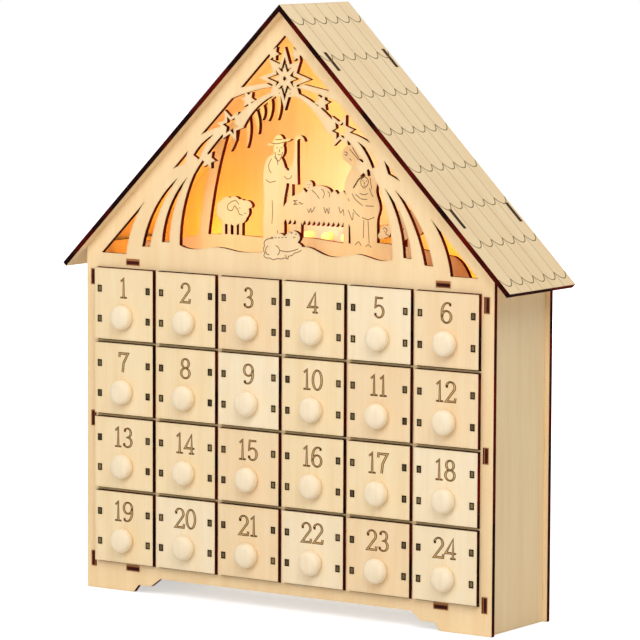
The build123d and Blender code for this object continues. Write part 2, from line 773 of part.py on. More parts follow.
def drawer(row, column):
    """Front plate, two sides, back and bottom of one drawer."""
    middle = column_middle(column)
    low = row_shelf_top(row) + slide_gap
    high = low + box_height
    box_back = -front_reveal + box_length
    knob_middle = front_bottom(row) + front_height / 2 - knob_drop
    front = bar(middle - front_width / 2, middle + front_width / 2, front_bottom(row),
                front_bottom(row) + front_height)
    back = bar(middle - box_width / 2, middle + box_width / 2, low, high)
    slots = Sketch()
    for side in (-1, 1):
        inner = middle + side * (box_width / 2 - ply) - side * fit_gap
        outer = middle + side * box_width / 2 + side * fit_gap
        for bottom, top in drawer_tabs(low, fit_gap):
            slots += bar(min(inner, outer), max(inner, outer), bottom, top)
    front -= slots + Pos(middle, knob_middle) * Circle(knob_tenon_diameter / 2 + fit_gap)
    back -= slots
    side_face = bar(-front_reveal, box_back - ply, low, high)
    for bottom, top in drawer_tabs(low):
        side_face += bar(front_face, box_back, bottom, top)
    bottom_half = box_width / 2 - ply
    bottom_face = bar(middle - bottom_half, middle + bottom_half, -front_reveal, box_back - ply)
    return group(
        upright(front, front_face), upright(back, box_back - ply), level(bottom_face, low),
        sideways(side_face, middle - box_width / 2), sideways(side_face, middle + bottom_half),
    )


def knob(row, column):
    """A turned knob with a round tenon that fills the front's thickness."""
    radius = knob_diameter / 2
    neck = knob_neck_diameter / 2
    tenon = knob_tenon_diameter / 2
    profile = [
        Polyline((0, knob_height), (0, -ply), (tenon, -ply), (tenon, 0), (neck, 0)),
        Spline((neck, 0), (radius, knob_rim_height), tangents=[(1, 0), (0, 1)]),
        Spline((radius, knob_rim_height), (0, knob_height), tangents=[(0, 1), (-1, 0)]),
    ]
    turned = revolve(make_face(profile), Axis.Y)
    knob_middle = front_bottom(row) + front_height / 2 - knob_drop
    return Pos(column_middle(column), front_face, knob_middle) * Rot(0, 0, 180) * turned


# Light unit
def block(left, right, front, back, low, high):
    return Pos(left, front, low) * Box(right - left, back - front, high - low, align=Align.MIN)


def battery_box():
    """A moulded box behind the back panel, open to the cover's window and to the switch."""
    back = case_depth - ply
    half = unit_length / 2
    low = unit_middle_height - cell_bay_height / 2
    shell = block(-half, half, unit_face, back, gable_floor_top, gable_floor_top + unit_height)
    shell -= block(cell_bay_left, cell_bay_left + cell_bay_length, unit_face + case_wall, back + cut_overrun,
                   low, low + cell_bay_height)
    switch_low = unit_middle_height - switch_bay_height / 2
    return shell - block(switch_bay_left, switch_bay_left + switch_bay_width, unit_face + case_wall,
                         back + cut_overrun, switch_low, switch_low + switch_bay_height)


def batteries():
    """Round cells, one above the other, turned end for end."""
    low = unit_middle_height - cell_bay_height / 2
    stack = []
    for cell in range(cells):
        middle = low + cell_gap + cell_diameter / 2 + cell * (cell_diameter + cell_gap)
        body = Cylinder(cell_diameter / 2, cell_length, align=(Align.CENTER, Align.CENTER, Align.MIN))
        body += Pos(0, 0, cell_length) * Cylinder(
            cell_nub_diameter / 2, cell_nub_length, align=(Align.CENTER, Align.CENTER, Align.MIN))
        turn = 90 if cell % 2 else -90
        reach = contact_room if cell % 2 else contact_room + cell_length + cell_nub_length
        place = Pos(cell_bay_left + reach, unit_face + case_wall + cell_gap + cell_diameter / 2, middle)
        stack.append(place * Rot(0, turn, 0) * body)
    return group(*stack)


def battery_cover():
    """The cover that fills the window in the back panel, with a thumb hollow."""
    low = unit_middle_height - cell_bay_height / 2 + cover_gap
    high = unit_middle_height + cell_bay_height / 2 - cover_gap
    right = cell_bay_left + cell_bay_length - cover_gap
    cover = block(cell_bay_left + cover_gap, right, case_depth - ply, case_depth, low, high)
    hollow = Cylinder(cover_grip_radius, 2 * cover_grip_depth)
    return cover - Pos(right - 2 * cover_grip_radius, case_depth, unit_middle_height) * Rot(90, 0, 0) * hollow


def switch_slider():
    """The slide switch, at the left end of its travel, which is on."""
    middle = switch_bay_left + switch_bay_width / 2 - switch_travel / 2
    back = case_depth - ply - cover_gap
    front = back - switch_flange_thickness
    flange_half = switch_flange_width / 2
    flange_low = unit_middle_height - switch_flange_height / 2
    flange = block(middle - flange_half, middle + flange_half, front, back,
                   flange_low, flange_low + switch_flange_height)
    stem_half = switch_stem_width / 2
    stem_low = unit_middle_height - switch_stem_height / 2
    return flange + block(middle - stem_half, middle + stem_half, front, case_depth + switch_stem_reach,
                          stem_low, stem_low + switch_stem_height)


def led_lamps():
    """Round-headed lamps on the front of the battery box."""
    radius = lamp_diameter / 2
    flange = lamp_flange_diameter / 2
    profile = [
        Polyline((0, lamp_length), (0, 0), (flange, 0), (flange, lamp_flange_thickness),
                 (radius, lamp_flange_thickness), (radius, lamp_length - radius)),
        CenterArc((0, lamp_length - radius), radius, 0, 90),
    ]
    lamp = Rot(0, 0, 180) * revolve(make_face(profile), Axis.Y)
    height = gable_floor_top + lamp_height
    places = [(step - (lamps - 1) / 2) * lamp_pitch for step in range(lamps)]
    return group(*[Pos(place, unit_face, height) * lamp for place in places])


os.makedirs("parts", exist_ok=True)

save("front_panel", front_panel())
save("back_panel", back_panel())
save("side_walls", group(side_wall(-wall_outer), side_wall(wall_inner)))
save("roof_left", roof_board(False))
save("roof_right", roof_board(True))
save("drawer_grid", drawer_grid())
save("scene_figures", scene_figures())
save("battery_box", battery_box())
save("batteries", batteries())
save("battery_cover", battery_cover())
save("switch_slider", switch_slider())
save("led_lamps", led_lamps())
for row in range(rows):
    for column in range(columns):
        number = row * columns + column + 1
        save(f"drawer_{number:02d}", drawer(row, column))
        save(f"knob_{number:02d}", knob(row, column))
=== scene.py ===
"""Looks of a house-shaped plywood advent calendar: veneer, laser-cut edges, engraving, knobs, warm light."""
import math

import bmesh
import bpy
from bpy.props import FloatProperty, FloatVectorProperty, IntProperty, PointerProperty
from mathutils import Matrix, Vector


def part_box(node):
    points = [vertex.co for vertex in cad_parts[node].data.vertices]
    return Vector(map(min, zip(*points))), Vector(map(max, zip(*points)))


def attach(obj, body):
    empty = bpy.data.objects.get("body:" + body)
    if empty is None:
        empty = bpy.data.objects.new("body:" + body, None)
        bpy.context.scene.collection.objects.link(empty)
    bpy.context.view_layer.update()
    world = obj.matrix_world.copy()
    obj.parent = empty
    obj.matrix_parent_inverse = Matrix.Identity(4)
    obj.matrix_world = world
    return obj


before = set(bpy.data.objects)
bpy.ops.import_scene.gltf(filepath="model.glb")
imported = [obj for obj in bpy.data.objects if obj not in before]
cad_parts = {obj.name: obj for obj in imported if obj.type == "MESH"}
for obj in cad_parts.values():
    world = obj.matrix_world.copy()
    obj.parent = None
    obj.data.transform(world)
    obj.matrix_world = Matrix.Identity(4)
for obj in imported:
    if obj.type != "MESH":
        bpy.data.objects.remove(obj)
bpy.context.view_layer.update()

bl_info = {
    "name": "Advent Calendar Looks",
    "version": (1, 0, 0),
    "blender": (4, 5, 0),
    "location": "View3D > Sidebar > Calendar",
    "description": "Finishes, engraving and light of a plywood advent calendar",
    "category": "Material",
}

MM = 0.001

# Places, names and counts of the frame
PANEL_LOW, PANEL_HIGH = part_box("front_panel")
PLATE_LOW, PLATE_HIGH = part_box("scene_figures")
ROOF_LOW, ROOF_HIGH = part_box("roof_right")
PLY = PANEL_HIGH.y - PANEL_LOW.y
GABLE_FLOOR = PLATE_LOW.z + PLY
NUMBERS = sorted(node.removeprefix("knob_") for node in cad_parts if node.startswith("knob_"))
COLUMNS = 6
CASE_BODY = "case"

# Sizes of the construction that the finishes follow
BOX_INSET = 2.2 * MM  # from a drawer front's edge to the box side
TAB_HEIGHT = 4.0 * MM  # side tabs that show in a drawer front
TAB_LIFTS = (12.08 * MM, 30.3 * MM)  # their middles above the front's lower edge
HILL_HEIGHT = 17.6 * MM  # the figures' ground above the gable floor
LAMB_HEIGHT = 7.2 * MM  # the lamb's ground above the gable floor
NEAR = 0.05 * MM  # what is this close to a plane or a point lies in it
FACING = 0.9  # a face looks along a direction if their dot product is over this
TAB_PROUD = 0.5 * MM  # roof tabs end this close to the roof's upper face
TAB_DIGITS = 5  # decimals of a metre that tell one tab from another

# Order of the finishes on a board
FACE, EDGE, TAB, FRET = range(4)


def linear(hex_value):
    """A linear colour from an sRGB hex value."""
    shares = [int(hex_value[at:at + 2], 16) / 255 for at in (1, 3, 5)]
    return tuple(s / 12.92 if s <= 0.04045 else ((s + 0.055) / 1.055) ** 2.4 for s in shares)


def colour(name, description, hex_value):
    """A colour that the user may change."""
    return FloatVectorProperty(name=name, description=description, default=linear(hex_value),
                               subtype="COLOR", min=0, max=1)


def length(name, description, millimetres):
    """A length that the user may change."""
    return FloatProperty(name=name, description=description, default=millimetres * MM, unit="LENGTH", min=0)


def power(name, description, milliwatts):
    """A lamp's power that the user may change."""
    return FloatProperty(name=name, description=description, default=milliwatts / 1000, unit="POWER",
                         precision=4, min=0)


def level(name, description, share):
    """A level that the user may change. A face that gets 1 shows its colour as it is written."""
    return FloatProperty(name=name, description=description, default=share, min=0)


class CalendarSizes(bpy.types.PropertyGroup):
    """Sizes of the engraving"""
    number_height: length("Number height", "Height of the engraved numbers", 12.9)
    number_width: length("Number width", "Width of a digit with the space beside it", 8.3)
    number_lift: length("Number lift", "From a front's middle up to its number", 9.9)
    upright_stroke: length("Upright stroke", "Width of a digit's upright strokes over their outline", 1.75)
    level_stroke: length("Level stroke", "Width of a digit's level strokes over their outline", 1.1)
    number_outline: length("Number outline", "Width of the dark outline of a stroke", 0.5)
    number_ball: length("Number ball", "Size of the ball that ends a curved stroke", 1.5)
    tab_line: length("Tab line", "Width of the burnt gap round a drawer's tab", 0.6)
    slot_line: length("Slot line", "Width of the gap beside a wall's or shelf's tab", 0.9)
    # The lines under and over a drawer are painted shadow: the proud front's shade on the rail below it, and
    # a shadow gap over it
    under_shadow_line: length("Under line", "Width of the burnt line under a drawer", 0.9)
    over_shadow_line: length("Upper line", "Width of the burnt line over a drawer", 0.35)
    shingle_columns: IntProperty(name="Shingle columns", description="Shingles across a roof board",
                                 default=6, min=1)
    shingle_first: length("First shingles", "From the ridge to the first row's lower edge", 16.5)
    shingle_pitch: length("Shingle pitch", "From one row of shingles to the next", 28.95)
    shingle_round: length("Shingle round", "Depth of a shingle's rounded end", 5.2)
    shingle_line: length("Shingle line", "Width of the line round a shingle's end", 0.6)
    joint_line: length("Joint line", "Width of the line between neighbouring shingles", 0.36)
    roof_margin: length("Roof margin", "Bare rim of a roof board", 0.4)
    figure_line: length("Figure line", "Width of the lines on the figures", 0.42)
    line_height: length("Line height", "How far an engraved line's char stands on the face", 0.03)
    line_sink: length("Line depth", "How deep an engraved line reaches into the board", 0.3)


class CalendarFinishes(bpy.types.PropertyGroup):
    """Colours of the finishes"""
    veneer: colour("Veneer", "Sanded lime veneer", "#F8DEB1")
    veneer_grain: colour("Veneer grain", "Darker bands in the veneer", "#EFCD99")
    panel: colour("Panel veneer", "Warmer veneer of the front panel and the figure plate", "#FCDEAE")
    panel_grain: colour("Panel grain", "Darker bands in that veneer", "#F3CC96")
    smoke: colour("Smoke", "Veneer browned beside a laser cut", "#C08F4C")
    char: colour("Char", "Black of a laser-cut edge", "#140504")
    char_brown: colour("Char brown", "Maroon where a cut is burnt less", "#640E08")
    fret_dark: colour("Fretwork dark", "Dark red of the cuts in the gable", "#3A0704")
    fret_red: colour("Fretwork red", "Paler red of the cuts in the gable", "#7A1A0C")
    engraved: colour("Engraved", "Brown of an engraved line", "#6A3808")
    number_core: colour("Number core", "Paler middle of an engraved stroke", "#DAB274")
    shingle: colour("Shingle line", "Olive brown of the lines round the shingles", "#7A6840")
    joint: colour("Joint line", "Paler line between neighbouring shingles", "#B09A70")
    tab_end: colour("Tab end", "Browned end grain of a drawer's tab", "#86704A")
    roof_tab: colour("Roof tab", "Browned end grain of a tab in the roof", "#46301C")
    rail: colour("Rail", "Veneer browned by smoke between the drawers", "#FFDC9C")
    # Painted shadow: colour of the dark lines under and over each drawer
    rail_shadow: colour("Rail burn", "Burnt line under or over a drawer", "#341A06")
    case_tab: colour("Case tab", "Burnt end of a shelf's or wall's tab", "#48140A")
    case_tab_rim: colour("Case tab rim", "Paler rim of such a tab", "#B87848")
    knob: colour("Knob", "Turned lime knob", "#F8E6C6")
    unit: colour("Battery unit", "Moulded battery box and cover", "#E9E6DD")
    slider: colour("Switch slider", "Moulded slider of the switch", "#26282B")
    cell: colour("Cell", "Dark film round a cell", "#2C2E33")
    cell_band: colour("Cell band", "Copper-coloured band of a cell", "#A8683A")
    lamp: colour("Lamp", "Warm lens of the lamps", "#FFD27A")
    paper: colour("Paper", "White paper under the calendar", "#E7E7E7")


class CalendarLight(bpy.types.PropertyGroup):
    """Strength of the lamps and of the studio light"""
    lamp_power: power("Lamp power", "Light of each lamp", 10)
    lamp_glow: level("Lamp glow", "Brightness of a lamp's lens", 1.2)
    lamp_tint: colour("Lamp tint", "Colour of the lamps' light", "#FFE2E4")
    side_power: power("Side power", "Light spread behind each side of the plate", 7)
    top_power: power("Top power", "Light spread under the ridge", 8)
    front_power: power("Front power", "Light spread before the plate", 3.6)
    end_power: power("End power", "Light that reaches each end of the gable floor", 18)
    glow_tint: colour("Glow tint", "Colour of the light spread behind the plate", "#FFBC1C")
    pale_tint: colour("Pale tint", "Colour of the light before the plate and under the ridge", "#FFE658")
    key_level: level("Key level", "Large light from the front left", 0.29)
    fill_level: level("Fill level", "Large light from above the front right", 0.15)
    side_level: level("Side level", "Large light from the upper right", 0.41)
    back_level: level("Back level", "Large light from behind", 0.55)
    world_level: level("Room level", "Even light from all round", 0.26)


# Object and node helpers
def add_object(name, data):
    """Adds an object to the scene."""
    item = bpy.data.objects.new(name, data)
    bpy.context.scene.collection.objects.link(item)
    return item


def add_mesh(name, mesh, finishes):
    """Adds an object with a finished mesh and its materials."""
    data = bpy.data.meshes.new(name)
    mesh.to_mesh(data)
    mesh.free()
    for finish in finishes:
        data.materials.append(finish)
    return add_object(name, data)


def set_inputs(tree, node, inputs):
    """Sets a node's inputs, or links them to the sockets given."""
    for key, value in inputs.items():
        if isinstance(value, bpy.types.NodeSocket):
            tree.links.new(value, node.inputs[key])
        else:
            node.inputs[key].default_value = value


def add_node(tree, kind, inputs=None, **settings):
    """Adds a shader node with its settings and its inputs, and returns its outputs."""
    node = tree.nodes.new(f"ShaderNode{kind}")
    for name, value in settings.items():
        setattr(node, name, value)
    set_inputs(tree, node, inputs or {})
    return node.outputs


def start_material(name):
    """A new material with its node tree, its shader and the coordinates that its patterns follow."""
    material = bpy.data.materials.new(name)
    material.use_nodes = True
    tree = material.node_tree
    return material, tree, tree.nodes["Principled BSDF"], add_node(tree, "TexCoord")


def opaque(rgb):
    """A colour with its alpha."""
    return (*rgb, 1.0)


# Layers of the veneer's figure: width and length, the noise where one begins and is full, its strength
VENEER_BAND = ((8 * MM, 90 * MM), (0.35, 0.68), 0.55)  # broad tones
VENEER_FIBRE = ((0.9 * MM, 26 * MM), (0.45, 0.75), 0.35)  # drawn coarser than real fibres, so that they show
VENEER_RAY = ((0.6 * MM, 4 * MM), (0.68, 0.8), 0.25)  # short dark rays

# Sizes of the other finishes' patterns
SMOKE_REACH, SMOKE_SHARE = 1.6 * MM, 0.18  # how far and how much a cut browns the veneer beside it
CHAR_PATCH = 26 * MM  # stretches of a cut that are burnt alike
PLY_LAYER = 1.0 * MM
TAB_RIM = 0.8 * MM  # other tone round a tab's end
KNOB_RING = 0.7 * MM  # tool marks, drawn coarser than real, so that they show
KNOB_GRAIN = (2 * MM, 18 * MM)
UNIT_SPARK, SLIDER_SPARK = 0.5 * MM, 0.4 * MM  # moulded grain, drawn coarser than real, so that it shows
FILM_CREASE = 6 * MM
BAND_START_SHARE = 0.7  # of a cell's length, where its band begins


def lime_plywood(name, light, grain, smoke, turn=0.0):
    """Lime plywood, rotary-cut veneer, sanded and left bare.

    It gives a matt pale straw face with soft upright bands, fine fibres, a few short rays, and browned rims.
    """
    material, tree, shader, place = start_material(name)
    turned = add_node(tree, "Mapping", {"Vector": place["Object"], "Rotation": (0, turn, 0)})
    shade = opaque(light)
    noises = []
    for layer, rgb in ((VENEER_BAND, grain), (VENEER_FIBRE, grain), (VENEER_RAY, smoke)):
        (across, along), (low, high), strength = layer
        scale = (1 / across, 1 / across, 1 / along)
        spread = add_node(tree, "Mapping", {"Vector": turned[0], "Scale": scale})
        noise = add_node(tree, "TexNoise",
                         {"Vector": spread[0], "Scale": 1.0, "Detail": 3.0, "Roughness": 0.55})
        amount = add_node(tree, "MapRange",
                          {"Value": noise[0], "From Min": low, "From Max": high, "To Max": strength})
        shade = add_node(tree, "Mix", {0: amount[0], 6: shade, 7: opaque(rgb)}, data_type="RGBA")[2]
        noises.append(noise[0])
    fibre = noises[1]
    rim = add_node(tree, "AmbientOcclusion", {"Distance": SMOKE_REACH}, inside=True, only_local=True,
                   samples=4)
    browned = add_node(tree, "MapRange", {"Value": rim["AO"], "From Min": 0.55, "From Max": 0.98,
                                          "To Min": SMOKE_SHARE, "To Max": 0})
    final = add_node(tree, "Mix", {0: browned[0], 6: shade, 7: opaque(smoke)}, data_type="RGBA")
    rough = add_node(tree, "MapRange", {"Value": fibre, "To Min": 0.55, "To Max": 0.75})
    relief = add_node(tree, "Bump", {"Height": fibre, "Strength": 0.15, "Distance": 0.1 * MM})
    set_inputs(tree, shader, {"Base Color": final[2], "Roughness": rough[0], "Normal": relief[0], "IOR": 1.5,
                              "Specular IOR Level": 0.3})
    return material


def laser_charred_edge(name, sooty, scorched):
    """Plywood edge burnt by the laser: sooty, dull, redder where it burnt less, with specks of the plies."""
    material, tree, shader, place = start_material(name)
    patch = add_node(tree, "TexNoise", {"Vector": place["Object"], "Scale": 1 / CHAR_PATCH, "Detail": 2.0})
    soot = add_node(tree, "TexNoise", {"Vector": place["Object"], "Scale": 1 / PLY_LAYER, "Detail": 3.0})
    burnt = add_node(tree, "MapRange", {"Value": patch[0], "From Min": 0.4, "From Max": 0.64})
    base = add_node(tree, "Mix", {0: burnt[0], 6: opaque(sooty), 7: opaque(scorched)}, data_type="RGBA")
    speck = add_node(tree, "MapRange", {"Value": soot[0], "From Min": 0.5, "From Max": 0.8, "To Max": 0.35})
    final = add_node(tree, "Mix", {0: speck[0], 6: base[2], 7: opaque(scorched)}, data_type="RGBA")
    relief = add_node(tree, "Bump", {"Height": soot[0], "Strength": 0.3, "Distance": 0.2 * MM})
    set_inputs(tree, shader, {"Base Color": final[2], "Normal": relief[0], "Roughness": 0.9,
                              "Specular IOR Level": 0.05})
    return material


def burnt_wood(name, rgb, patch, dark, rim=None):
    """Wood browned by the laser: matt, uneven, darker where the beam lingered, of another tone at its rim."""
    material, tree, shader, place = start_material(name)
    uneven = add_node(tree, "TexNoise", {"Vector": place["Object"], "Scale": 1 / patch, "Detail": 3.0})
    depth = add_node(tree, "MapRange", {"Value": uneven[0], "From Min": 0.35, "From Max": 0.7})
    darker = opaque(dark * share for share in rgb)
    final = add_node(tree, "Mix", {0: depth[0], 6: opaque(rgb), 7: darker}, data_type="RGBA")
    if rim:
        near = add_node(tree, "AmbientOcclusion", {"Distance": TAB_RIM}, inside=True, only_local=True,
                        samples=8)
        toned = add_node(tree, "MapRange", {"Value": near["AO"], "From Min": 0.6, "From Max": 0.95,
                                            "To Min": 1.0, "To Max": 0})
        final = add_node(tree, "Mix", {0: toned[0], 6: final[2], 7: opaque(rim)}, data_type="RGBA")
    set_inputs(tree, shader, {"Base Color": final[2], "Roughness": 0.85, "Specular IOR Level": 0.15})
    return material


def turned_lime(finish):
    """Lime turned on a lathe and fine sanded: creamy, faint rings of the tool, a soft sheen."""
    material, tree, shader, place = start_material("turned_lime_knob")
    flat = add_node(tree, "VectorMath", {0: place["Generated"], 1: (1.0, 0.0, 1.0)}, operation="MULTIPLY")
    radius = add_node(tree, "VectorMath", {0: flat[0], 1: (0.5, 0.0, 0.5)}, operation="DISTANCE")
    knob_low, knob_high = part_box(f"knob_{NUMBERS[0]}")
    turns = 2 * math.pi * (knob_high.x - knob_low.x) / KNOB_RING
    phase = add_node(tree, "Math", {0: radius["Value"], 1: turns}, operation="MULTIPLY")
    ring = add_node(tree, "Math", {0: phase[0]}, operation="SINE")
    across, along = KNOB_GRAIN
    scale = (1 / across, 1 / across, 1 / along)
    spread = add_node(tree, "Mapping", {"Vector": place["Object"], "Scale": scale})
    grain = add_node(tree, "TexNoise", {"Vector": spread[0], "Scale": 1.0, "Detail": 3.0})
    tone = add_node(tree, "MapRange", {"Value": grain[0], "From Min": 0.4, "From Max": 0.75, "To Max": 0.3})
    final = add_node(tree, "Mix", {0: tone[0], 6: opaque(finish.knob), 7: opaque(finish.veneer_grain)},
                     data_type="RGBA")
    relief = add_node(tree, "Bump", {"Height": ring[0], "Strength": 0.06, "Distance": 0.05 * MM})
    set_inputs(tree, shader, {"Base Color": final[2], "Normal": relief[0], "Roughness": 0.6, "IOR": 1.5})
    return material


def moulded_plastic(name, rgb, spark_size):
    """ABS moulded in a spark-eroded tool: even colour, finely grained, with a soft gloss."""
    material, tree, shader, place = start_material(name)
    spark = add_node(tree, "TexNoise", {"Vector": place["Object"], "Scale": 1 / spark_size, "Detail": 2.0})
    rough = add_node(tree, "MapRange", {"Value": spark[0], "To Min": 0.38, "To Max": 0.58})
    shade = add_node(tree, "MapRange", {"Value": spark[0], "To Max": 0.25})
    darker = opaque(0.85 * share for share in rgb)
    final = add_node(tree, "Mix", {0: shade[0], 6: opaque(rgb), 7: darker}, data_type="RGBA")
    relief = add_node(tree, "Bump", {"Height": spark[0], "Strength": 0.12, "Distance": 0.1 * MM})
    set_inputs(tree, shader, {"Base Color": final[2], "Roughness": rough[0], "Normal": relief[0],
                              "IOR": 1.53})
    return material


def cell_jacket(finish):
    """Steel can in a shrunk film: dark sleeve with a copper-coloured band at one end, glossy."""
    material, tree, shader, place = start_material("shrunk_film_on_steel")
    parts = add_node(tree, "SeparateXYZ", {0: place["Generated"]})
    band = add_node(tree, "Math", {0: parts["X"], 1: BAND_START_SHARE}, operation="GREATER_THAN")
    crease = add_node(tree, "TexNoise", {"Vector": place["Object"], "Scale": 1 / FILM_CREASE, "Detail": 2.0})
    final = add_node(tree, "Mix", {0: band[0], 6: opaque(finish.cell), 7: opaque(finish.cell_band)},
                     data_type="RGBA")
    relief = add_node(tree, "Bump", {"Height": crease[0], "Strength": 0.05, "Distance": 0.1 * MM})
    set_inputs(tree, shader, {"Base Color": final[2], "Normal": relief[0], "Roughness": 0.3})
    return material


def lamp_epoxy(finish, light):
    """Clear epoxy lens over a warm chip: glossy, brightest at its domed tip."""
    material, tree, shader, place = start_material("warm_led_epoxy")
    parts = add_node(tree, "SeparateXYZ", {0: place["Generated"]})
    tip = add_node(tree, "MapRange", {"Value": parts["Y"], "To Min": 1.0, "To Max": 0.35})
    strength = add_node(tree, "Math", {0: tip[0], 1: light.lamp_glow}, operation="MULTIPLY")
    set_inputs(tree, shader, {"Base Color": opaque(finish.lamp), "Emission Color": opaque(finish.lamp),
                              "Emission Strength": strength[0], "Roughness": 0.15, "IOR": 1.55})
    return material


# Painting the CAD boards: their flat faces are veneer, and the rest is the laser's cut
def paint(node, finishes, choose=None):
    """Gives each face of a CAD node one of the finishes. `choose` takes the face's normal and middle."""
    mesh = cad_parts[node].data
    mesh.materials.clear()
    for finish in finishes:
        mesh.materials.append(finish)
    for polygon in mesh.polygons:
        polygon.material_index = choose(polygon.normal, polygon.center) if choose else FACE


def flat_along(*directions):
    """Chooses veneer for faces that look along one of the directions, and char for the others."""
    def choose(normal, middle):
        return FACE if any(abs(normal.dot(direction)) > FACING for direction in directions) else EDGE
    return choose


def panel_choice(normal, middle):
    """Chooses veneer, a roof tab's end, the gable's redder char or char for the faces of an upright board."""
    if abs(normal.y) > FACING:
        return FACE
    if abs(abs(middle.x) + middle.z - ROOF_HIGH.z) < TAB_PROUD:
        return TAB
    return FRET if middle.z > GABLE_FLOOR else EDGE


def inner_choice(*directions):
    """Chooses veneer, char or a tab's end for the faces of the shelves and walls inside the panels."""
    flat = flat_along(*directions)

    def choose(normal, middle):
        in_panel = middle.y < PANEL_LOW.y + PLY
        return TAB if abs(normal.y) > FACING and in_panel else flat(normal, middle)
    return choose


def drawer_choice(low, high):
    """Chooses veneer, char or a tab's end for the faces of one drawer."""
    centre = (low.x + high.x) / 2
    inner = (high.x - low.x) / 2 - BOX_INSET - PLY

    def choose(normal, middle):
        across = abs(middle.x - centre)
        if abs(normal.y) > FACING:
            outside = min(middle.y - low.y, high.y - middle.y) < NEAR
            in_tab = any(abs(middle.z - low.z - lift) < TAB_HEIGHT / 2 for lift in TAB_LIFTS)
            return TAB if outside and in_tab and inner < across < inner + PLY else FACE
        if not low.y + PLY < middle.y < high.y - PLY:
            return EDGE
        return FACE if abs(normal.x) > FACING or across < inner else EDGE
    return choose


def tab_ends(node):
    """Left, right, lower and upper edges of the tab ends of a painted node."""
    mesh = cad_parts[node].data
    ends = set()
    for polygon in mesh.polygons:
        if polygon.material_index == TAB:
            corners = [mesh.vertices[at].co for at in polygon.vertices]
            across, above = [corner.x for corner in corners], [corner.z for corner in corners]
            edges = min(across), max(across), min(above), max(above)
            ends.add(tuple(round(edge, TAB_DIGITS) for edge in edges))
    return sorted(ends)


# Engraved lines
def on_front(front):
    """Places points of a face that looks forward: x, z and the height over the face."""
    return lambda u, v, lift: Vector((u, front - lift, v))


def on_slope(side):
    """Places points of a roof board: depth, distance down from the ridge, and the height over the board."""
    down = Vector((side, 0, -1)).normalized()
    outward = Vector((side, 0, 1)).normalized()
    ridge = Vector((0, 0, ROOF_HIGH.z))
    return lambda u, v, lift: ridge + Vector((0, u, 0)) + down * v + outward * lift


def smooth_line(points, steps=6):
    """A curve through given points."""
    if len(points) < 3:
        return list(points)
    ends = [points[0], *points, points[-1]]
    line = []
    for before, start, end, after in zip(ends, ends[1:], ends[2:], ends[3:]):
        for step in range(steps):
            t = step / steps
            line.append(tuple(
                0.5 * (2 * b + (c - a) * t + (2 * a - 5 * b + 4 * c - d) * t ** 2
                       + (3 * b - a - 3 * c + d) * t ** 3)
                for a, b, c, d in zip(before, start, end, after)))
    return [*line, tuple(points[-1])]


def oval_arc(middle, radii, start, end):
    """Points along an oval from one angle to another, in degrees."""
    count = max(4, round(abs(end - start) / 12))
    turns = [math.radians(start + (end - start) * step / count) for step in range(count + 1)]
    return [(middle[0] + radii[0] * math.cos(turn), middle[1] + radii[1] * math.sin(turn)) for turn in turns]


MITRE_LIMIT = 0.5  # a sharp corner is widened by at most the inverse of this


class Engraving:
    """Engraved lines that make one piece: thin closed strips that lie in a face."""

    def __init__(self, place, sizes):
        self.mesh = bmesh.new()
        self.place = place
        self.sizes = sizes
        self.finishes = []

    def strip(self, points, width, finish, lift=1.0, sink=1.0, upright=None):
        """Adds a strip along a line, with its own width where it runs upright. Ends that meet make a ring.

        Its height and depth are shares of the line height and depth.
        """
        if finish not in self.finishes:
            self.finishes.append(finish)
        wider = (upright or width) - width
        top, bottom = lift * self.sizes.line_height, -sink * self.sizes.line_sink
        line = [Vector(point) for point in points]
        ring = (line[0] - line[-1]).length < NEAR
        if ring:
            line.pop()
        count = len(line)
        rows = []
        for at, here in enumerate(line):
            back = line[at - 1] if ring or at else here
            ahead = line[(at + 1) % count] if ring or at + 1 < count else here
            came = (here - back).normalized() if back is not here else (ahead - here).normalized()
            goes = (ahead - here).normalized() if ahead is not here else came
            side = Vector((-came.y - goes.y, came.x + goes.x)).normalized()
            mitre = max(MITRE_LIMIT, abs(side.dot(Vector((-came.y, came.x)))))
            reach = (width + wider * side.x ** 2) / 2 / mitre
            left, right = here + side * reach, here - side * reach
            corners = ((left, top), (right, top), (right, bottom), (left, bottom))
            rows.append([self.mesh.verts.new(self.place(spot.x, spot.y, height)) for spot, height in corners])
        faces = []
        for at in range(count if ring else count - 1):
            near, far = rows[at], rows[(at + 1) % count]
            for corner in range(4):
                after = (corner + 1) % 4
                faces.append(self.mesh.faces.new((near[corner], near[after], far[after], far[corner])))
        if not ring:
            faces += [self.mesh.faces.new(reversed(rows[0])), self.mesh.faces.new(rows[-1])]
        for face in faces:
            face.material_index = self.finishes.index(finish)

    def make_piece(self, name, body):
        """Makes a piece of the strips and lets it ride on its body."""
        bmesh.ops.recalc_face_normals(self.mesh, faces=self.mesh.faces)
        piece = add_mesh(name, self.mesh, self.finishes)
        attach(piece, body)


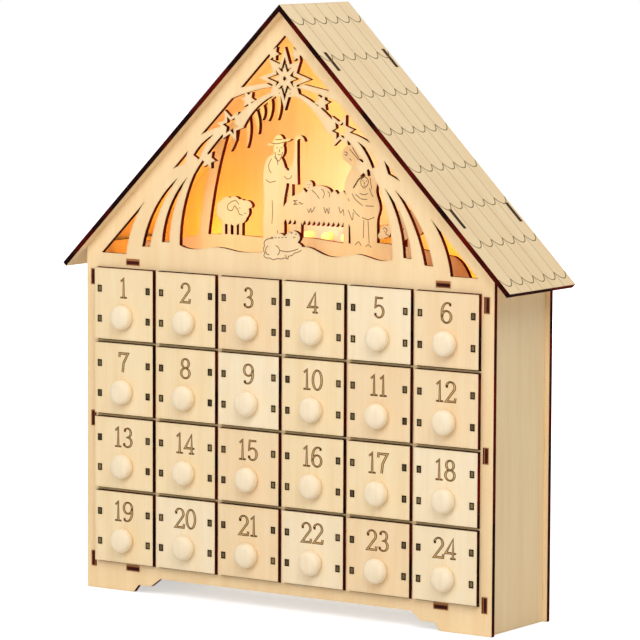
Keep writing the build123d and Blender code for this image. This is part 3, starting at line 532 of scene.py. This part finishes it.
# Strokes of the slab-serif digits, in shares of a digit's width and height, from its lower left corner
NARROW_SHARES = {"1": 0.76}
DIGIT_SHARES = {
    "0": [oval_arc((0.5, 0.5), (0.37, 0.44), 0, 360)],
    "1": [[(0.12, 0.8), (0.38, 0.94), (0.38, 0.06)], [(0.08, 0.06), (0.68, 0.06)]],
    "2": [[*oval_arc((0.5, 0.7), (0.34, 0.24), 170, -25), (0.14, 0.07), (0.86, 0.07), (0.89, 0.24)]],
    "3": [[*oval_arc((0.47, 0.73), (0.29, 0.21), 150, -85), *oval_arc((0.46, 0.29), (0.36, 0.23), 85, -150)]],
    "4": [[(0.68, 0.06), (0.68, 0.94), (0.09, 0.3), (0.94, 0.3)], [(0.44, 0.06), (0.91, 0.06)]],
    "5": [[(0.83, 0.94), (0.25, 0.94), (0.19, 0.52), *oval_arc((0.49, 0.33), (0.36, 0.27), 125, -150)]],
    "6": [[*oval_arc((0.59, 0.52), (0.46, 0.42), 60, 180), *oval_arc((0.5, 0.32), (0.37, 0.26), 180, 540)]],
    "7": [[(0.13, 0.76), (0.13, 0.94), (0.88, 0.94), (0.5, 0.5), (0.41, 0.06)]],
    "8": [oval_arc((0.5, 0.73), (0.3, 0.21), 0, 360), oval_arc((0.5, 0.28), (0.37, 0.23), 0, 360)],
    "9": [[*oval_arc((0.41, 0.48), (0.46, 0.42), 240, 360), *oval_arc((0.5, 0.68), (0.37, 0.26), 0, 360)]],
}
BALL_SHARES = {"2": [(0.2, 0.74)], "3": [(0.24, 0.83), (0.17, 0.18)], "5": [(0.2, 0.2)], "6": [(0.8, 0.86)],
               "9": [(0.2, 0.14)]}

# A figure's middle, then its lines from there and from its ground, in mm. Faces are plain and calm.
HERDER = -20.75, (
    [(-3.3, 55.4), (1.0, 55.0), (8.2, 56.6)], [(0.2, 57.4), (5.2, 57.8)],
    [(0.9, 52.6), (2.1, 52.7)], [(4.0, 52.8), (5.2, 52.8)], [(3.2, 52.0), (3.4, 50.6), (2.7, 50.4)],
    [(2.0, 48.9), (3.0, 48.6), (4.0, 48.9)],
    [(0.0, 50.2), (0.8, 46.8), (2.6, 44.8), (4.3, 47.0), (5.5, 50.4)],
    [(-2.4, 46.1), (-4.4, 42.7), (-4.2, 39.5), (-2.6, 37.5)], [(-0.6, 47.4), (1.4, 45.3), (2.1, 42.5)],
    [(-6.6, 33.6), (-3.8, 32.1), (0.6, 33.0)], [(6.8, 36.0), (9.1, 34.6), (11.3, 35.4), (12.0, 37.0)],
    [(-2.0, 21.5), (-1.7, 14.5), (-2.1, 7.7)], [(1.8, 3.9), (2.3, 0.2)],
)
SHEEP = -51.5, (
    [(4.7, 17.9), (2.3, 20.0), (-1.3, 18.9), (-3.7, 16.7), (-3.1, 14.4), (-0.3, 14.1), (1.3, 16.9)],
    [(1.3, 17.1), (3.7, 14.9), (5.0, 12.2), (7.4, 11.6)], [(4.8, 15.8), (5.8, 15.7)],
    [(8.6, 12.9), (9.8, 12.7)],
)
MANGER = 10.0, (
    [(-14.6, 22.3), (-17.3, 22.0), (-15.5, 21.0), (-17.1, 19.9), (-14.2, 20.1)],
    [(-13.7, 20.9), (-12.5, 21.2), (-12.2, 20.2), (-10.4, 20.8)],
    [(-7.3, 17.7), (-6.3, 15.6), (-5.1, 18.0), (-4.3, 15.9), (-2.0, 19.2)],
    [(4.3, 19.3), (5.4, 16.0), (6.4, 18.5), (7.6, 15.7), (8.1, 19.3)],
    [(14.9, 20.0), (16.1, 16.5), (17.9, 18.5), (18.5, 15.1)], [(21.5, 18.5), (24.4, 12.8), (25.0, 17.3)],
    [(-7.5, 32.0), (-6.9, 31.9)], [(-6.0, 31.9), (-5.4, 32.0)], [(-6.9, 30.6), (-6.5, 30.4), (-6.1, 30.6)],
    [(-4.4, 29.0), (-3.5, 28.3), (-1.2, 26.6), (1.1, 24.1)],
    [(2.2, 29.9), (3.9, 28.9), (4.5, 26.8), (3.5, 24.5)], [(6.8, 28.6), (8.3, 27.4), (8.1, 25.3)],
)
KNEELER = 43.9, (
    [(-1.1, 38.5), (-3.3, 36.7), (-3.5, 33.9), (-1.4, 31.8), (1.2, 34.0), (1.3, 36.9), (-1.1, 38.5)],
    [(-2.7, 36.0), (-1.8, 35.9)], [(-0.3, 35.9), (0.6, 36.0)], [(-1.1, 35.4), (-1.4, 34.5), (-0.9, 34.3)],
    [(-1.9, 33.2), (-1.2, 33.0), (-0.5, 33.2)], [(2.7, 38.2), (3.9, 31.3)],
    [(2.4, 31.8), (3.9, 28.4), (5.1, 27.1)], [(-4.4, 28.6), (-1.4, 27.9), (1.2, 28.8)],
    [(-7.4, 27.9), (-3.2, 25.4), (0.9, 25.4)], [(-9.8, 28.2), (-7.4, 24.9), (-2.3, 21.5)],
    [(-0.2, 21.5), (5.4, 21.5)], [(-8.9, 19.0), (-7.0, 16.8), (-4.4, 15.0)],
    [(-2.6, 14.6), (1.5, 13.6), (6.0, 15.3)], [(-1.4, 13.1), (-1.7, 2.5)], [(1.5, 13.1), (2.4, -0.2)],
    [(-7.4, -1.7), (-5.0, 0.3), (-3.2, -1.9)], [(0.0, -2.4), (1.8, -1.0), (3.9, -2.7)],
)
DONKEY = 35.0, (
    [(-6.3, 52.2), (-4.6, 51.9), (-4.8, 50.3), (-6.3, 50.8)], [(-2.8, 48.6), (-1.4, 47.4)],
    [(-2.8, 54.0), (0.8, 50.7), (4.0, 47.5)], [(-0.8, 55.2), (5.0, 47.2)],
)
GRAZER = 72.0, (
    [(-16.0, 8.6), (-15.0, 9.4), (-13.2, 8.2), (-14.2, 6.1), (-12.0, 5.0)], [(-15.4, 7.4), (-14.8, 7.2)],
    oval_arc((-7.4, 13.4), (1.5, 1.2), 20, 250), oval_arc((-3.2, 9.6), (1.4, 1.1), 150, 380),
)
LAMB = -1.3, (
    [(-7.8, 11.5), (-10.6, 10.9), (-12.2, 9.9), (-13.0, 8.5), (-12.7, 7.0), (-13.3, 5.4), (-13.1, 3.5),
     (-12.3, 2.8), (-13.1, 1.2), (-11.6, -0.1), (-8.7, -0.2), (-6.4, -1.0), (-3.5, -0.1), (-0.8, -0.2),
     (2.0, 0.6), (4.0, 0.1), (4.5, 1.6), (7.0, 2.4), (8.6, 3.7), (11.3, 4.5), (13.6, 5.7)],
    [(-10.3, 7.1), (-11.8, 4.9), (-11.3, 2.4), (-9.3, 1.9)],
    [(-4.7, 7.6), (-2.6, 6.2), (-1.9, 3.8), (-3.4, 2.0)], [(2.0, 2.3), (3.2, 0.9)],
    [(-1.6, 4.8), (3.5, 4.3), (8.5, 5.4), (11.2, 6.4)],
    [(-7.8, 11.4), (-6.6, 11.6)], [(-5.4, 12.0), (-4.2, 12.1)], [(-3.0, 12.2), (-1.8, 12.3)],
    [(-0.6, 12.4), (0.6, 12.5)], [(1.8, 12.6), (3.0, 12.8)],
    [(4.9, 16.0), (7.0, 15.7), (6.2, 14.7)], [(9.0, 14.8), (10.2, 14.8)],
    [(7.6, 13.4), (8.4, 12.8), (9.2, 13.4)],
)


class CALENDAR_OT_boards(bpy.types.Operator):
    """Gives the case, the roof and the figure plate their veneer and their laser-cut edges"""
    bl_idname = "calendar.boards"
    bl_label = "Boards"

    def execute(self, context):
        finish = context.scene.calendar_finishes
        edge = laser_charred_edge("laser_charred_edge", finish.char, finish.char_brown)
        fret = laser_charred_edge("laser_charred_fretwork", finish.fret_dark, finish.fret_red)
        roof_tab = burnt_wood("laser_browned_roof_tab", finish.roof_tab, 6 * MM, dark=0.5, rim=finish.char)
        case_tab = burnt_wood("laser_burnt_case_tab", finish.case_tab, 6 * MM, dark=0.4,
                              rim=finish.case_tab_rim)
        tones = (finish.veneer, finish.veneer_grain, finish.smoke)
        plain = lime_plywood("lime_plywood", *tones)
        warm = lime_plywood("lime_plywood_panel", finish.panel, finish.panel_grain, finish.smoke)
        for node, face in (("front_panel", warm), ("back_panel", plain), ("scene_figures", warm)):
            paint(node, (face, edge, roof_tab, fret), panel_choice)
        sideways, up = Vector((1, 0, 0)), Vector((0, 0, 1))
        paint("side_walls", (plain, edge, case_tab), inner_choice(sideways))
        paint("drawer_grid", (plain, edge, case_tab), inner_choice(sideways, up))
        for node, side in (("roof_left", -1), ("roof_right", 1)):
            sloped = lime_plywood(f"lime_plywood_{node}", *tones, turn=side * math.pi / 4)
            paint(node, (sloped, edge), flat_along(Vector((side, 0, 1)).normalized()))
        self.show_slots(context.scene.calendar_sizes, finish)
        return {"FINISHED"}

    def show_slots(self, sizes, finish):
        """Lines in the front panel's slots: dark ones beside wall tabs, paler ones over shelf tabs."""
        gap = burnt_wood("laser_burnt_slot", finish.char_brown, 4 * MM, dark=0.4)
        rim = burnt_wood("laser_browned_slot_rim", finish.case_tab_rim, 4 * MM, dark=0.7)
        lines = Engraving(on_front(PANEL_LOW.y), sizes)
        half = sizes.slot_line / 2
        for left, right, low, high in tab_ends("side_walls"):
            beside = left - half if left > 0 else right + half
            lines.strip([(beside, low), (beside, high)], sizes.slot_line, gap)
        for left, right, low, high in tab_ends("drawer_grid"):
            lines.strip([(left, high + half), (right, high + half)], sizes.slot_line, rim)
        lines.make_piece("slot_lines", CASE_BODY)


# Tones of the drawer fronts by their first letters, row by row from the top left, and their veneers
DRAWER_TONES = "hhrhpr" "hhphrr" "hhrhhp" "hprprp"
FRONT_VENEERS = {"honey": ("#F9E2B8", "#F0D19E"), "rose": ("#F7DCB2", "#EECB9A"),
                 "pale": ("#FBE8C6", "#F2DAAF")}


class CALENDAR_OT_drawers(bpy.types.Operator):
    """Gives each drawer a veneer of its own tone, charred edges and browned tab ends"""
    bl_idname = "calendar.drawers"
    bl_label = "Drawers"

    def execute(self, context):
        finish = context.scene.calendar_finishes
        edge = laser_charred_edge("laser_charred_drawer_edge", finish.char, finish.char_brown)
        end = burnt_wood("laser_browned_tab_end", finish.tab_end, 14 * MM, dark=0.1)
        faces = {}
        for tone, hex_values in FRONT_VENEERS.items():
            faces[tone[0]] = lime_plywood(f"lime_plywood_{tone}", *map(linear, hex_values), finish.smoke)
        for number, letter in zip(NUMBERS, DRAWER_TONES):
            node = f"drawer_{number}"
            paint(node, (faces[letter], edge, end), drawer_choice(*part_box(node)))
        self.brown_rails_shade_drawers(context.scene.calendar_sizes, finish)
        return {"FINISHED"}

    def brown_rails_shade_drawers(self, sizes, finish):
        """Browns the front panel's rails between rows, paints shadow lines under and over each drawer."""
        brown = burnt_wood("laser_smoked_rail", finish.rail, 5 * MM, dark=0.9)
        shadow_finish = burnt_wood("painted_shadow_by_drawer", finish.rail_shadow, 5 * MM, dark=0.6)
        boxes = [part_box(f"drawer_{number}") for number in NUMBERS]
        pitch = boxes[0][0].z - boxes[COLUMNS][0].z
        lines = Engraving(on_front(PANEL_LOW.y), sizes)
        for at, (low, high) in enumerate(boxes):
            gap = pitch - (high.z - low.z)
            if at + COLUMNS < len(boxes):
                lines.strip([(low.x, low.z - gap / 2), (high.x, low.z - gap / 2)], gap, brown)
            # painted shadow: the drawer front's shade on the rail under it, and a shadow gap over its top
            under, over = low.z - sizes.under_shadow_line / 2, high.z + sizes.over_shadow_line / 2
            for above, width in ((under, sizes.under_shadow_line), (over, sizes.over_shadow_line)):
                lines.strip([(low.x, above), (high.x, above)], width, shadow_finish, lift=2)
        lines.make_piece("rail_smoke_and_shadow_lines", CASE_BODY)


class CALENDAR_OT_knobs(bpy.types.Operator):
    """Gives the knobs their turned wood"""
    bl_idname = "calendar.knobs"
    bl_label = "Knobs"

    def execute(self, context):
        wood = turned_lime(context.scene.calendar_finishes)
        for number in NUMBERS:
            paint(f"knob_{number}", (wood,))
        return {"FINISHED"}


# Corners round an oblong, in halves of its sides
OBLONG = ((-1, -1), (1, -1), (1, 1), (-1, 1), (-1, -1))


class CALENDAR_OT_numbers(bpy.types.Operator):
    """Engraves each drawer's number and burns the gaps round its tabs"""
    bl_idname = "calendar.numbers"
    bl_label = "Numbers"

    def execute(self, context):
        sizes = context.scene.calendar_sizes
        finish = context.scene.calendar_finishes
        line = burnt_wood("laser_engraved_outline", finish.engraved, 16 * MM, dark=0.2)
        core = burnt_wood("laser_engraved_core", finish.number_core, 2 * MM, dark=0.8)
        gap = burnt_wood("laser_burnt_gap", finish.char, 2 * MM, dark=0.35)
        for number in NUMBERS:
            low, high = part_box(f"drawer_{number}")
            lines = Engraving(on_front(low.y), sizes)
            self.engrave(lines, number.lstrip("0"), (low + high) / 2, sizes, line, core)
            self.burn_gaps(lines, low, high, sizes, gap)
            lines.make_piece(f"number_{number}", f"drawer_body_{number}")
        return {"FINISHED"}

    def engrave(self, lines, digits, middle, sizes, line, core):
        """Two strips a stroke, a dark one and a paler, narrower one on it, and dark balls."""
        width, height = sizes.number_width, sizes.number_height
        widths = [NARROW_SHARES.get(digit, 1.0) * width for digit in digits]
        start = middle.x - sum(widths) / 2
        low = middle.z + sizes.number_lift - height / 2
        thin, thick, rim = sizes.level_stroke, sizes.upright_stroke, 2 * sizes.number_outline
        ball = sizes.number_ball / 2
        for digit, advance in zip(digits, widths):
            for shares in DIGIT_SHARES[digit]:
                points = [(start + u * width, low + v * height) for u, v in shares]
                lines.strip(points, thin, line, upright=thick)
                lines.strip(points, thin - rim, core, lift=2, sink=0.5, upright=thick - rim)
            for u, v in BALL_SHARES.get(digit, ()):
                across, above = start + u * width, low + v * height
                lines.strip([(across - ball, above), (across + ball, above)], 2 * ball, line, lift=3)
            start += advance

    def burn_gaps(self, lines, low, high, sizes, gap):
        """Dark rings where the tabs come through the front."""
        reach = (high.x - low.x) / 2 - BOX_INSET - PLY / 2
        half_width, half_height = (PLY - sizes.tab_line) / 2, (TAB_HEIGHT - sizes.tab_line) / 2
        for side in (-1, 1):
            across = (low.x + high.x) / 2 + side * reach
            for lift in TAB_LIFTS:
                above = low.z + lift
                corners = [(across + u * half_width, above + v * half_height) for u, v in OBLONG]
                lines.strip(corners, sizes.tab_line, gap)


SCALLOP_STEPS = 12
SCALLOP_POWER = 2.2  # above 2 a shingle's end is rounder than a parabola


class CALENDAR_OT_shingles(bpy.types.Operator):
    """Engraves the shingles on both roof boards"""
    bl_idname = "calendar.shingles"
    bl_label = "Shingles"

    def execute(self, context):
        sizes = context.scene.calendar_sizes
        finish = context.scene.calendar_finishes
        rounded = burnt_wood("laser_engraved_shingle", finish.shingle, 4 * MM, dark=0.65)
        straight = burnt_wood("laser_engraved_joint", finish.joint, 4 * MM, dark=0.75)
        for name, side in (("shingles_left", -1), ("shingles_right", 1)):
            lines = Engraving(on_slope(side), sizes)
            self.engrave(lines, sizes, rounded, straight)
            lines.make_piece(name, CASE_BODY)
        return {"FINISHED"}

    def engrave(self, lines, sizes, rounded, straight):
        """Rounded ends row by row, and straight joints from the ridge to the eave."""
        columns, margin = sizes.shingle_columns, sizes.roof_margin
        eave = math.sqrt(2) * ROOF_HIGH.x - margin
        width = (ROOF_HIGH.y - ROOF_LOW.y - 2 * margin) / columns
        half = width / 2
        across = [2 * step / SCALLOP_STEPS - 1 for step in range(SCALLOP_STEPS + 1)]
        rises = [sizes.shingle_round * abs(u) ** SCALLOP_POWER for u in across]
        bottom = sizes.shingle_first
        while bottom < eave:
            for column in range(columns):
                middle = ROOF_LOW.y + margin + (column + 0.5) * width
                arc = [(middle + half * u, bottom - rise) for u, rise in zip(across, rises)]
                lines.strip(arc, sizes.shingle_line, rounded)
            bottom += sizes.shingle_pitch
        for column in range(1, columns):
            joint = ROOF_LOW.y + margin + column * width
            lines.strip([(joint, margin), (joint, eave)], sizes.joint_line, straight, lift=0.5)


class CALENDAR_OT_figure_lines(bpy.types.Operator):
    """Engraves the lines of the figures on the plate and of the lamb on the front panel"""
    bl_idname = "calendar.figure_lines"
    bl_label = "Figure lines"

    def execute(self, context):
        sizes = context.scene.calendar_sizes
        line = burnt_wood("laser_engraved_figure", context.scene.calendar_finishes.engraved, 3 * MM, dark=0.5)
        figures = (HERDER, SHEEP, MANGER, KNEELER, DONKEY, GRAZER)
        self.engrave("plate_lines", figures, PLATE_LOW.y, GABLE_FLOOR + HILL_HEIGHT, sizes, line)
        self.engrave("lamb_lines", (LAMB,), PANEL_LOW.y, GABLE_FLOOR + LAMB_HEIGHT, sizes, line)
        return {"FINISHED"}

    def engrave(self, name, figures, front, ground, sizes, line):
        """Smooth strokes of all the figures on one board."""
        lines = Engraving(on_front(front), sizes)
        for middle, strokes in figures:
            for stroke in strokes:
                points = [(middle * MM + x * MM, ground + z * MM) for x, z in smooth_line(stroke)]
                lines.strip(points, sizes.figure_line, line)
        lines.make_piece(name, CASE_BODY)


# Where the lamps' light spreads in the gable: places over the gable floor, and sizes
LAMP_LIFT = 44 * MM
LAMP_SHARES = (0.45, 1.0, 1.55)  # of the lamp power, from the left
END_PLACE, END_RADIUS = 92 * MM, 6 * MM
SIDE_PLACE, SIDE_SIZE = 68 * MM, (50 * MM, 56 * MM)
TOP_LIFT, TOP_SIZE = 86 * MM, (48 * MM, 36 * MM)
GLOW_GAP = 1 * MM
# Light before the plate: place across, place over the floor, size, share of the front power
FRONT_SPREADS = (
    (-44 * MM, GLOW_GAP, (80 * MM, 66 * MM), 1.1),
    (-64 * MM, 12 * MM, (24 * MM, 58 * MM), 0.4),
    (-20 * MM, 74 * MM, (48 * MM, 28 * MM), 1.2),
    (40 * MM, GLOW_GAP, (36 * MM, 84 * MM), 0.5),
)


class CALENDAR_OT_light_unit(bpy.types.Operator):
    """Finishes the battery unit and lights its lamps"""
    bl_idname = "calendar.light_unit"
    bl_label = "Light unit"

    def execute(self, context):
        finish = context.scene.calendar_finishes
        light = context.scene.calendar_light
        shell = moulded_plastic("moulded_abs_unit", finish.unit, UNIT_SPARK)
        slider = moulded_plastic("moulded_abs_switch", finish.slider, SLIDER_SPARK)
        for node, material in (("battery_box", shell), ("battery_cover", shell), ("switch_slider", slider),
                               ("batteries", cell_jacket(finish)), ("led_lamps", lamp_epoxy(finish, light))):
            paint(node, (material,))
        low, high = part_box("led_lamps")
        radius = (high.z - low.z) / 2
        places = (low.x + radius, (low.x + high.x) / 2, high.x - radius)
        for place, share in zip(places, LAMP_SHARES):
            spot = (place, PLATE_HIGH.y + radius, GABLE_FLOOR + LAMP_LIFT)
            lamp = self.put("lamp_light", "POINT", share * light.lamp_power, light.lamp_tint, spot)
            lamp.data.shadow_soft_size = radius
        behind, before = PLATE_HIGH.y + GLOW_GAP, PANEL_HIGH.y + GLOW_GAP
        for side in (-1, 1):
            foot = (side * SIDE_PLACE, behind, GABLE_FLOOR + GLOW_GAP)
            self.spread(foot, SIDE_SIZE, light.side_power, light.glow_tint)
        foot = (0, behind, GABLE_FLOOR + TOP_LIFT)
        self.spread(foot, TOP_SIZE, light.top_power, light.pale_tint)
        for place, lift, size, share in FRONT_SPREADS:
            foot = (place, before, GABLE_FLOOR + lift)
            self.spread(foot, size, share * light.front_power, light.pale_tint)
        for side in (-1, 1):
            spot = (side * END_PLACE, low.y - radius, GABLE_FLOOR + 2 * END_RADIUS)
            end = self.put("end_glow", "POINT", light.end_power, light.glow_tint, spot)
            end.data.shadow_soft_size = END_RADIUS
        return {"FINISHED"}

    def spread(self, foot, size, watts, tint):
        """Light that the wood spreads backwards, from an upright oblong that stands on its foot."""
        middle = Vector(foot) + Vector((0, 0, size[1] / 2))
        glow = self.put("spread_light", "AREA", watts, tint, middle)
        glow.rotation_euler = (math.pi / 2, 0, 0)
        glow.data.shape = "RECTANGLE"
        glow.data.size, glow.data.size_y = size

    def put(self, name, kind, watts, tint, place):
        """Places a light that the camera doesn't see."""
        lamp = bpy.data.lights.new(name, kind)
        lamp.energy = watts
        lamp.color = tint
        holder = add_object(name, lamp)
        holder.location = place
        holder.visible_camera = False
        return holder


# View of the photograph, in metres, degrees and, for the lens and the sensor, mm
CAMERA_PLACE = (1.3688, -1.9837, 0.4330)
CAMERA_TURN, CAMERA_RISE, CAMERA_ROLL = 34.48, 6.23, 0.25
CAMERA_LENS, SENSOR = 231.1, 36.0

# The studio, in metres
FLOOR_SIZE, FLOOR_DROP = 8.0, 0.2 * MM
NEAR_FLOOR, FAR_FLOOR = 0.3, 1.5  # from the middle to where the floor's white begins to rise, and is full
NEAR_WHITE = 0.55  # white that the nearer floor adds to its paper
LIGHT_DISTANCE, LIGHT_SIZE = 2.0, 1.2
WHITE = (1.0, 1.0, 1.0, 1.0)
# Large lights: degrees to the right of the front, and up
STUDIO_LIGHTS = {"key": (-8.0, 25.0), "fill": (20.0, 45.0), "side": (48.0, 45.0), "back": (200.0, 28.0)}


def towards(turn, rise):
    """A direction, from degrees to the right of the front and degrees up."""
    turn, rise = math.radians(turn), math.radians(rise)
    return Vector((math.sin(turn) * math.cos(rise), -math.cos(turn) * math.cos(rise), math.sin(rise)))


class CALENDAR_OT_stage(bpy.types.Operator):
    """Sets the white floor, the soft studio light and the camera"""
    bl_idname = "calendar.stage"
    bl_label = "Stage"

    def execute(self, context):
        light = context.scene.calendar_light
        context.scene.view_settings.view_transform = "Standard"
        self.add_floor(context)
        self.add_world(context, light.world_level)
        for name, angles in STUDIO_LIGHTS.items():
            self.add_light(f"{name}_light", towards(*angles), getattr(light, f"{name}_level"))
        self.add_camera(context)
        return {"FINISHED"}

    def straight_rays(self, tree):
        """One where a ray comes straight from the camera, a mirror or a clear piece."""
        path = add_node(tree, "LightPath")
        seen = add_node(tree, "Math", {0: path["Is Camera Ray"], 1: path["Is Glossy Ray"]},
                        operation="MAXIMUM")
        return add_node(tree, "Math", {0: seen[0], 1: path["Is Transmission Ray"]}, operation="MAXIMUM")[0]

    def add_floor(self, context):
        """White paper that shows white to the camera and keeps a soft shadow."""
        mesh = bmesh.new()
        bmesh.ops.create_grid(mesh, x_segments=1, y_segments=1, size=FLOOR_SIZE / 2,
                              matrix=Matrix.Translation((0, 0, -FLOOR_DROP)))
        material, tree, shader, place = start_material("white_paper")
        paper = context.scene.calendar_finishes.paper
        set_inputs(tree, shader, {"Base Color": opaque(paper), "Roughness": 0.9})
        away = add_node(tree, "VectorMath", {0: place["Object"]}, operation="LENGTH")
        rise = add_node(tree, "MapRange", {"Value": away["Value"], "From Min": NEAR_FLOOR,
                                           "From Max": FAR_FLOOR, "To Min": NEAR_WHITE})
        strength = add_node(tree, "Math", {0: rise[0], 1: self.straight_rays(tree)}, operation="MULTIPLY")
        white = add_node(tree, "Emission", {"Color": WHITE, "Strength": strength[0]})
        both = add_node(tree, "AddShader", {0: shader.outputs[0], 1: white[0]})
        set_inputs(tree, tree.nodes["Material Output"], {"Surface": both[0]})
        floor = add_mesh("floor", mesh, (material,))

    def add_world(self, context, room_level):
        """Even light from all round, and plain white where the camera looks past the object."""
        world = bpy.data.worlds.new("studio")
        context.scene.world = world
        world.use_nodes = True
        tree = world.node_tree
        soft = tree.nodes["Background"]
        set_inputs(tree, soft, {"Color": WHITE, "Strength": room_level})
        white = add_node(tree, "Background", {"Color": WHITE, "Strength": 1.0})
        mixed = add_node(tree, "MixShader", {0: self.straight_rays(tree), 1: soft.outputs[0], 2: white[0]})
        set_inputs(tree, tree.nodes["World Output"], {"Surface": mixed[0]})

    def add_light(self, name, direction, lamp_level):
        """A large light that gives a face looking at it the level."""
        lamp = bpy.data.lights.new(name, "AREA")
        lamp.energy = (math.pi * LIGHT_DISTANCE) ** 2 * lamp_level
        lamp.size = LIGHT_SIZE
        holder = add_object(name, lamp)
        holder.location = (PANEL_LOW + PANEL_HIGH) / 2 + LIGHT_DISTANCE * direction
        holder.rotation_euler = direction.to_track_quat("Z", "Y").to_euler()

    def add_camera(self, context):
        """A camera where the photograph was taken from, turned, raised and rolled alike."""
        turn, rise, roll = (math.radians(angle) for angle in (CAMERA_TURN, CAMERA_RISE, CAMERA_ROLL))
        camera = add_object("camera", bpy.data.cameras.new("camera"))
        camera.data.lens = CAMERA_LENS
        camera.data.sensor_width = SENSOR
        camera.data.clip_end = 4 * FLOOR_SIZE
        camera.matrix_world = (Matrix.Translation(CAMERA_PLACE) @ Matrix.Rotation(turn, 4, "Z")
                               @ Matrix.Rotation(math.pi / 2 - rise, 4, "X") @ Matrix.Rotation(roll, 4, "Z"))
        context.scene.camera = camera


OPERATORS = (
    CALENDAR_OT_boards, CALENDAR_OT_drawers, CALENDAR_OT_knobs, CALENDAR_OT_numbers, CALENDAR_OT_shingles,
    CALENDAR_OT_figure_lines, CALENDAR_OT_light_unit, CALENDAR_OT_stage,
)
GROUPS = (
    ("calendar_sizes", CalendarSizes),
    ("calendar_finishes", CalendarFinishes),
    ("calendar_light", CalendarLight),
)


class CALENDAR_PT_looks(bpy.types.Panel):
    """Lists the steps and the values of the calendar's looks"""
    bl_idname = "CALENDAR_PT_looks"
    bl_label = "Advent Calendar"
    bl_space_type = "VIEW_3D"
    bl_region_type = "UI"
    bl_category = "Calendar"

    def draw(self, context):
        for operator in OPERATORS:
            self.layout.operator(operator.bl_idname)
        for name, group in GROUPS:
            box = self.layout.box()
            box.label(text=group.__doc__)
            for prop in group.__annotations__:
                box.prop(getattr(context.scene, name), prop)


def register():
    for name, group in GROUPS:
        bpy.utils.register_class(group)
        setattr(bpy.types.Scene, name, PointerProperty(type=group))
    for item in (*OPERATORS, CALENDAR_PT_looks):
        bpy.utils.register_class(item)


def unregister():
    for item in (CALENDAR_PT_looks, *reversed(OPERATORS)):
        bpy.utils.unregister_class(item)
    for name, group in reversed(GROUPS):
        delattr(bpy.types.Scene, name)
        bpy.utils.unregister_class(group)


def main():
    register()
    bpy.ops.calendar.boards()
    bpy.ops.calendar.drawers()
    bpy.ops.calendar.knobs()
    bpy.ops.calendar.numbers()
    bpy.ops.calendar.shingles()
    bpy.ops.calendar.figure_lines()
    bpy.ops.calendar.light_unit()
    bpy.ops.calendar.stage()


if __name__ == "__main__":
    main()
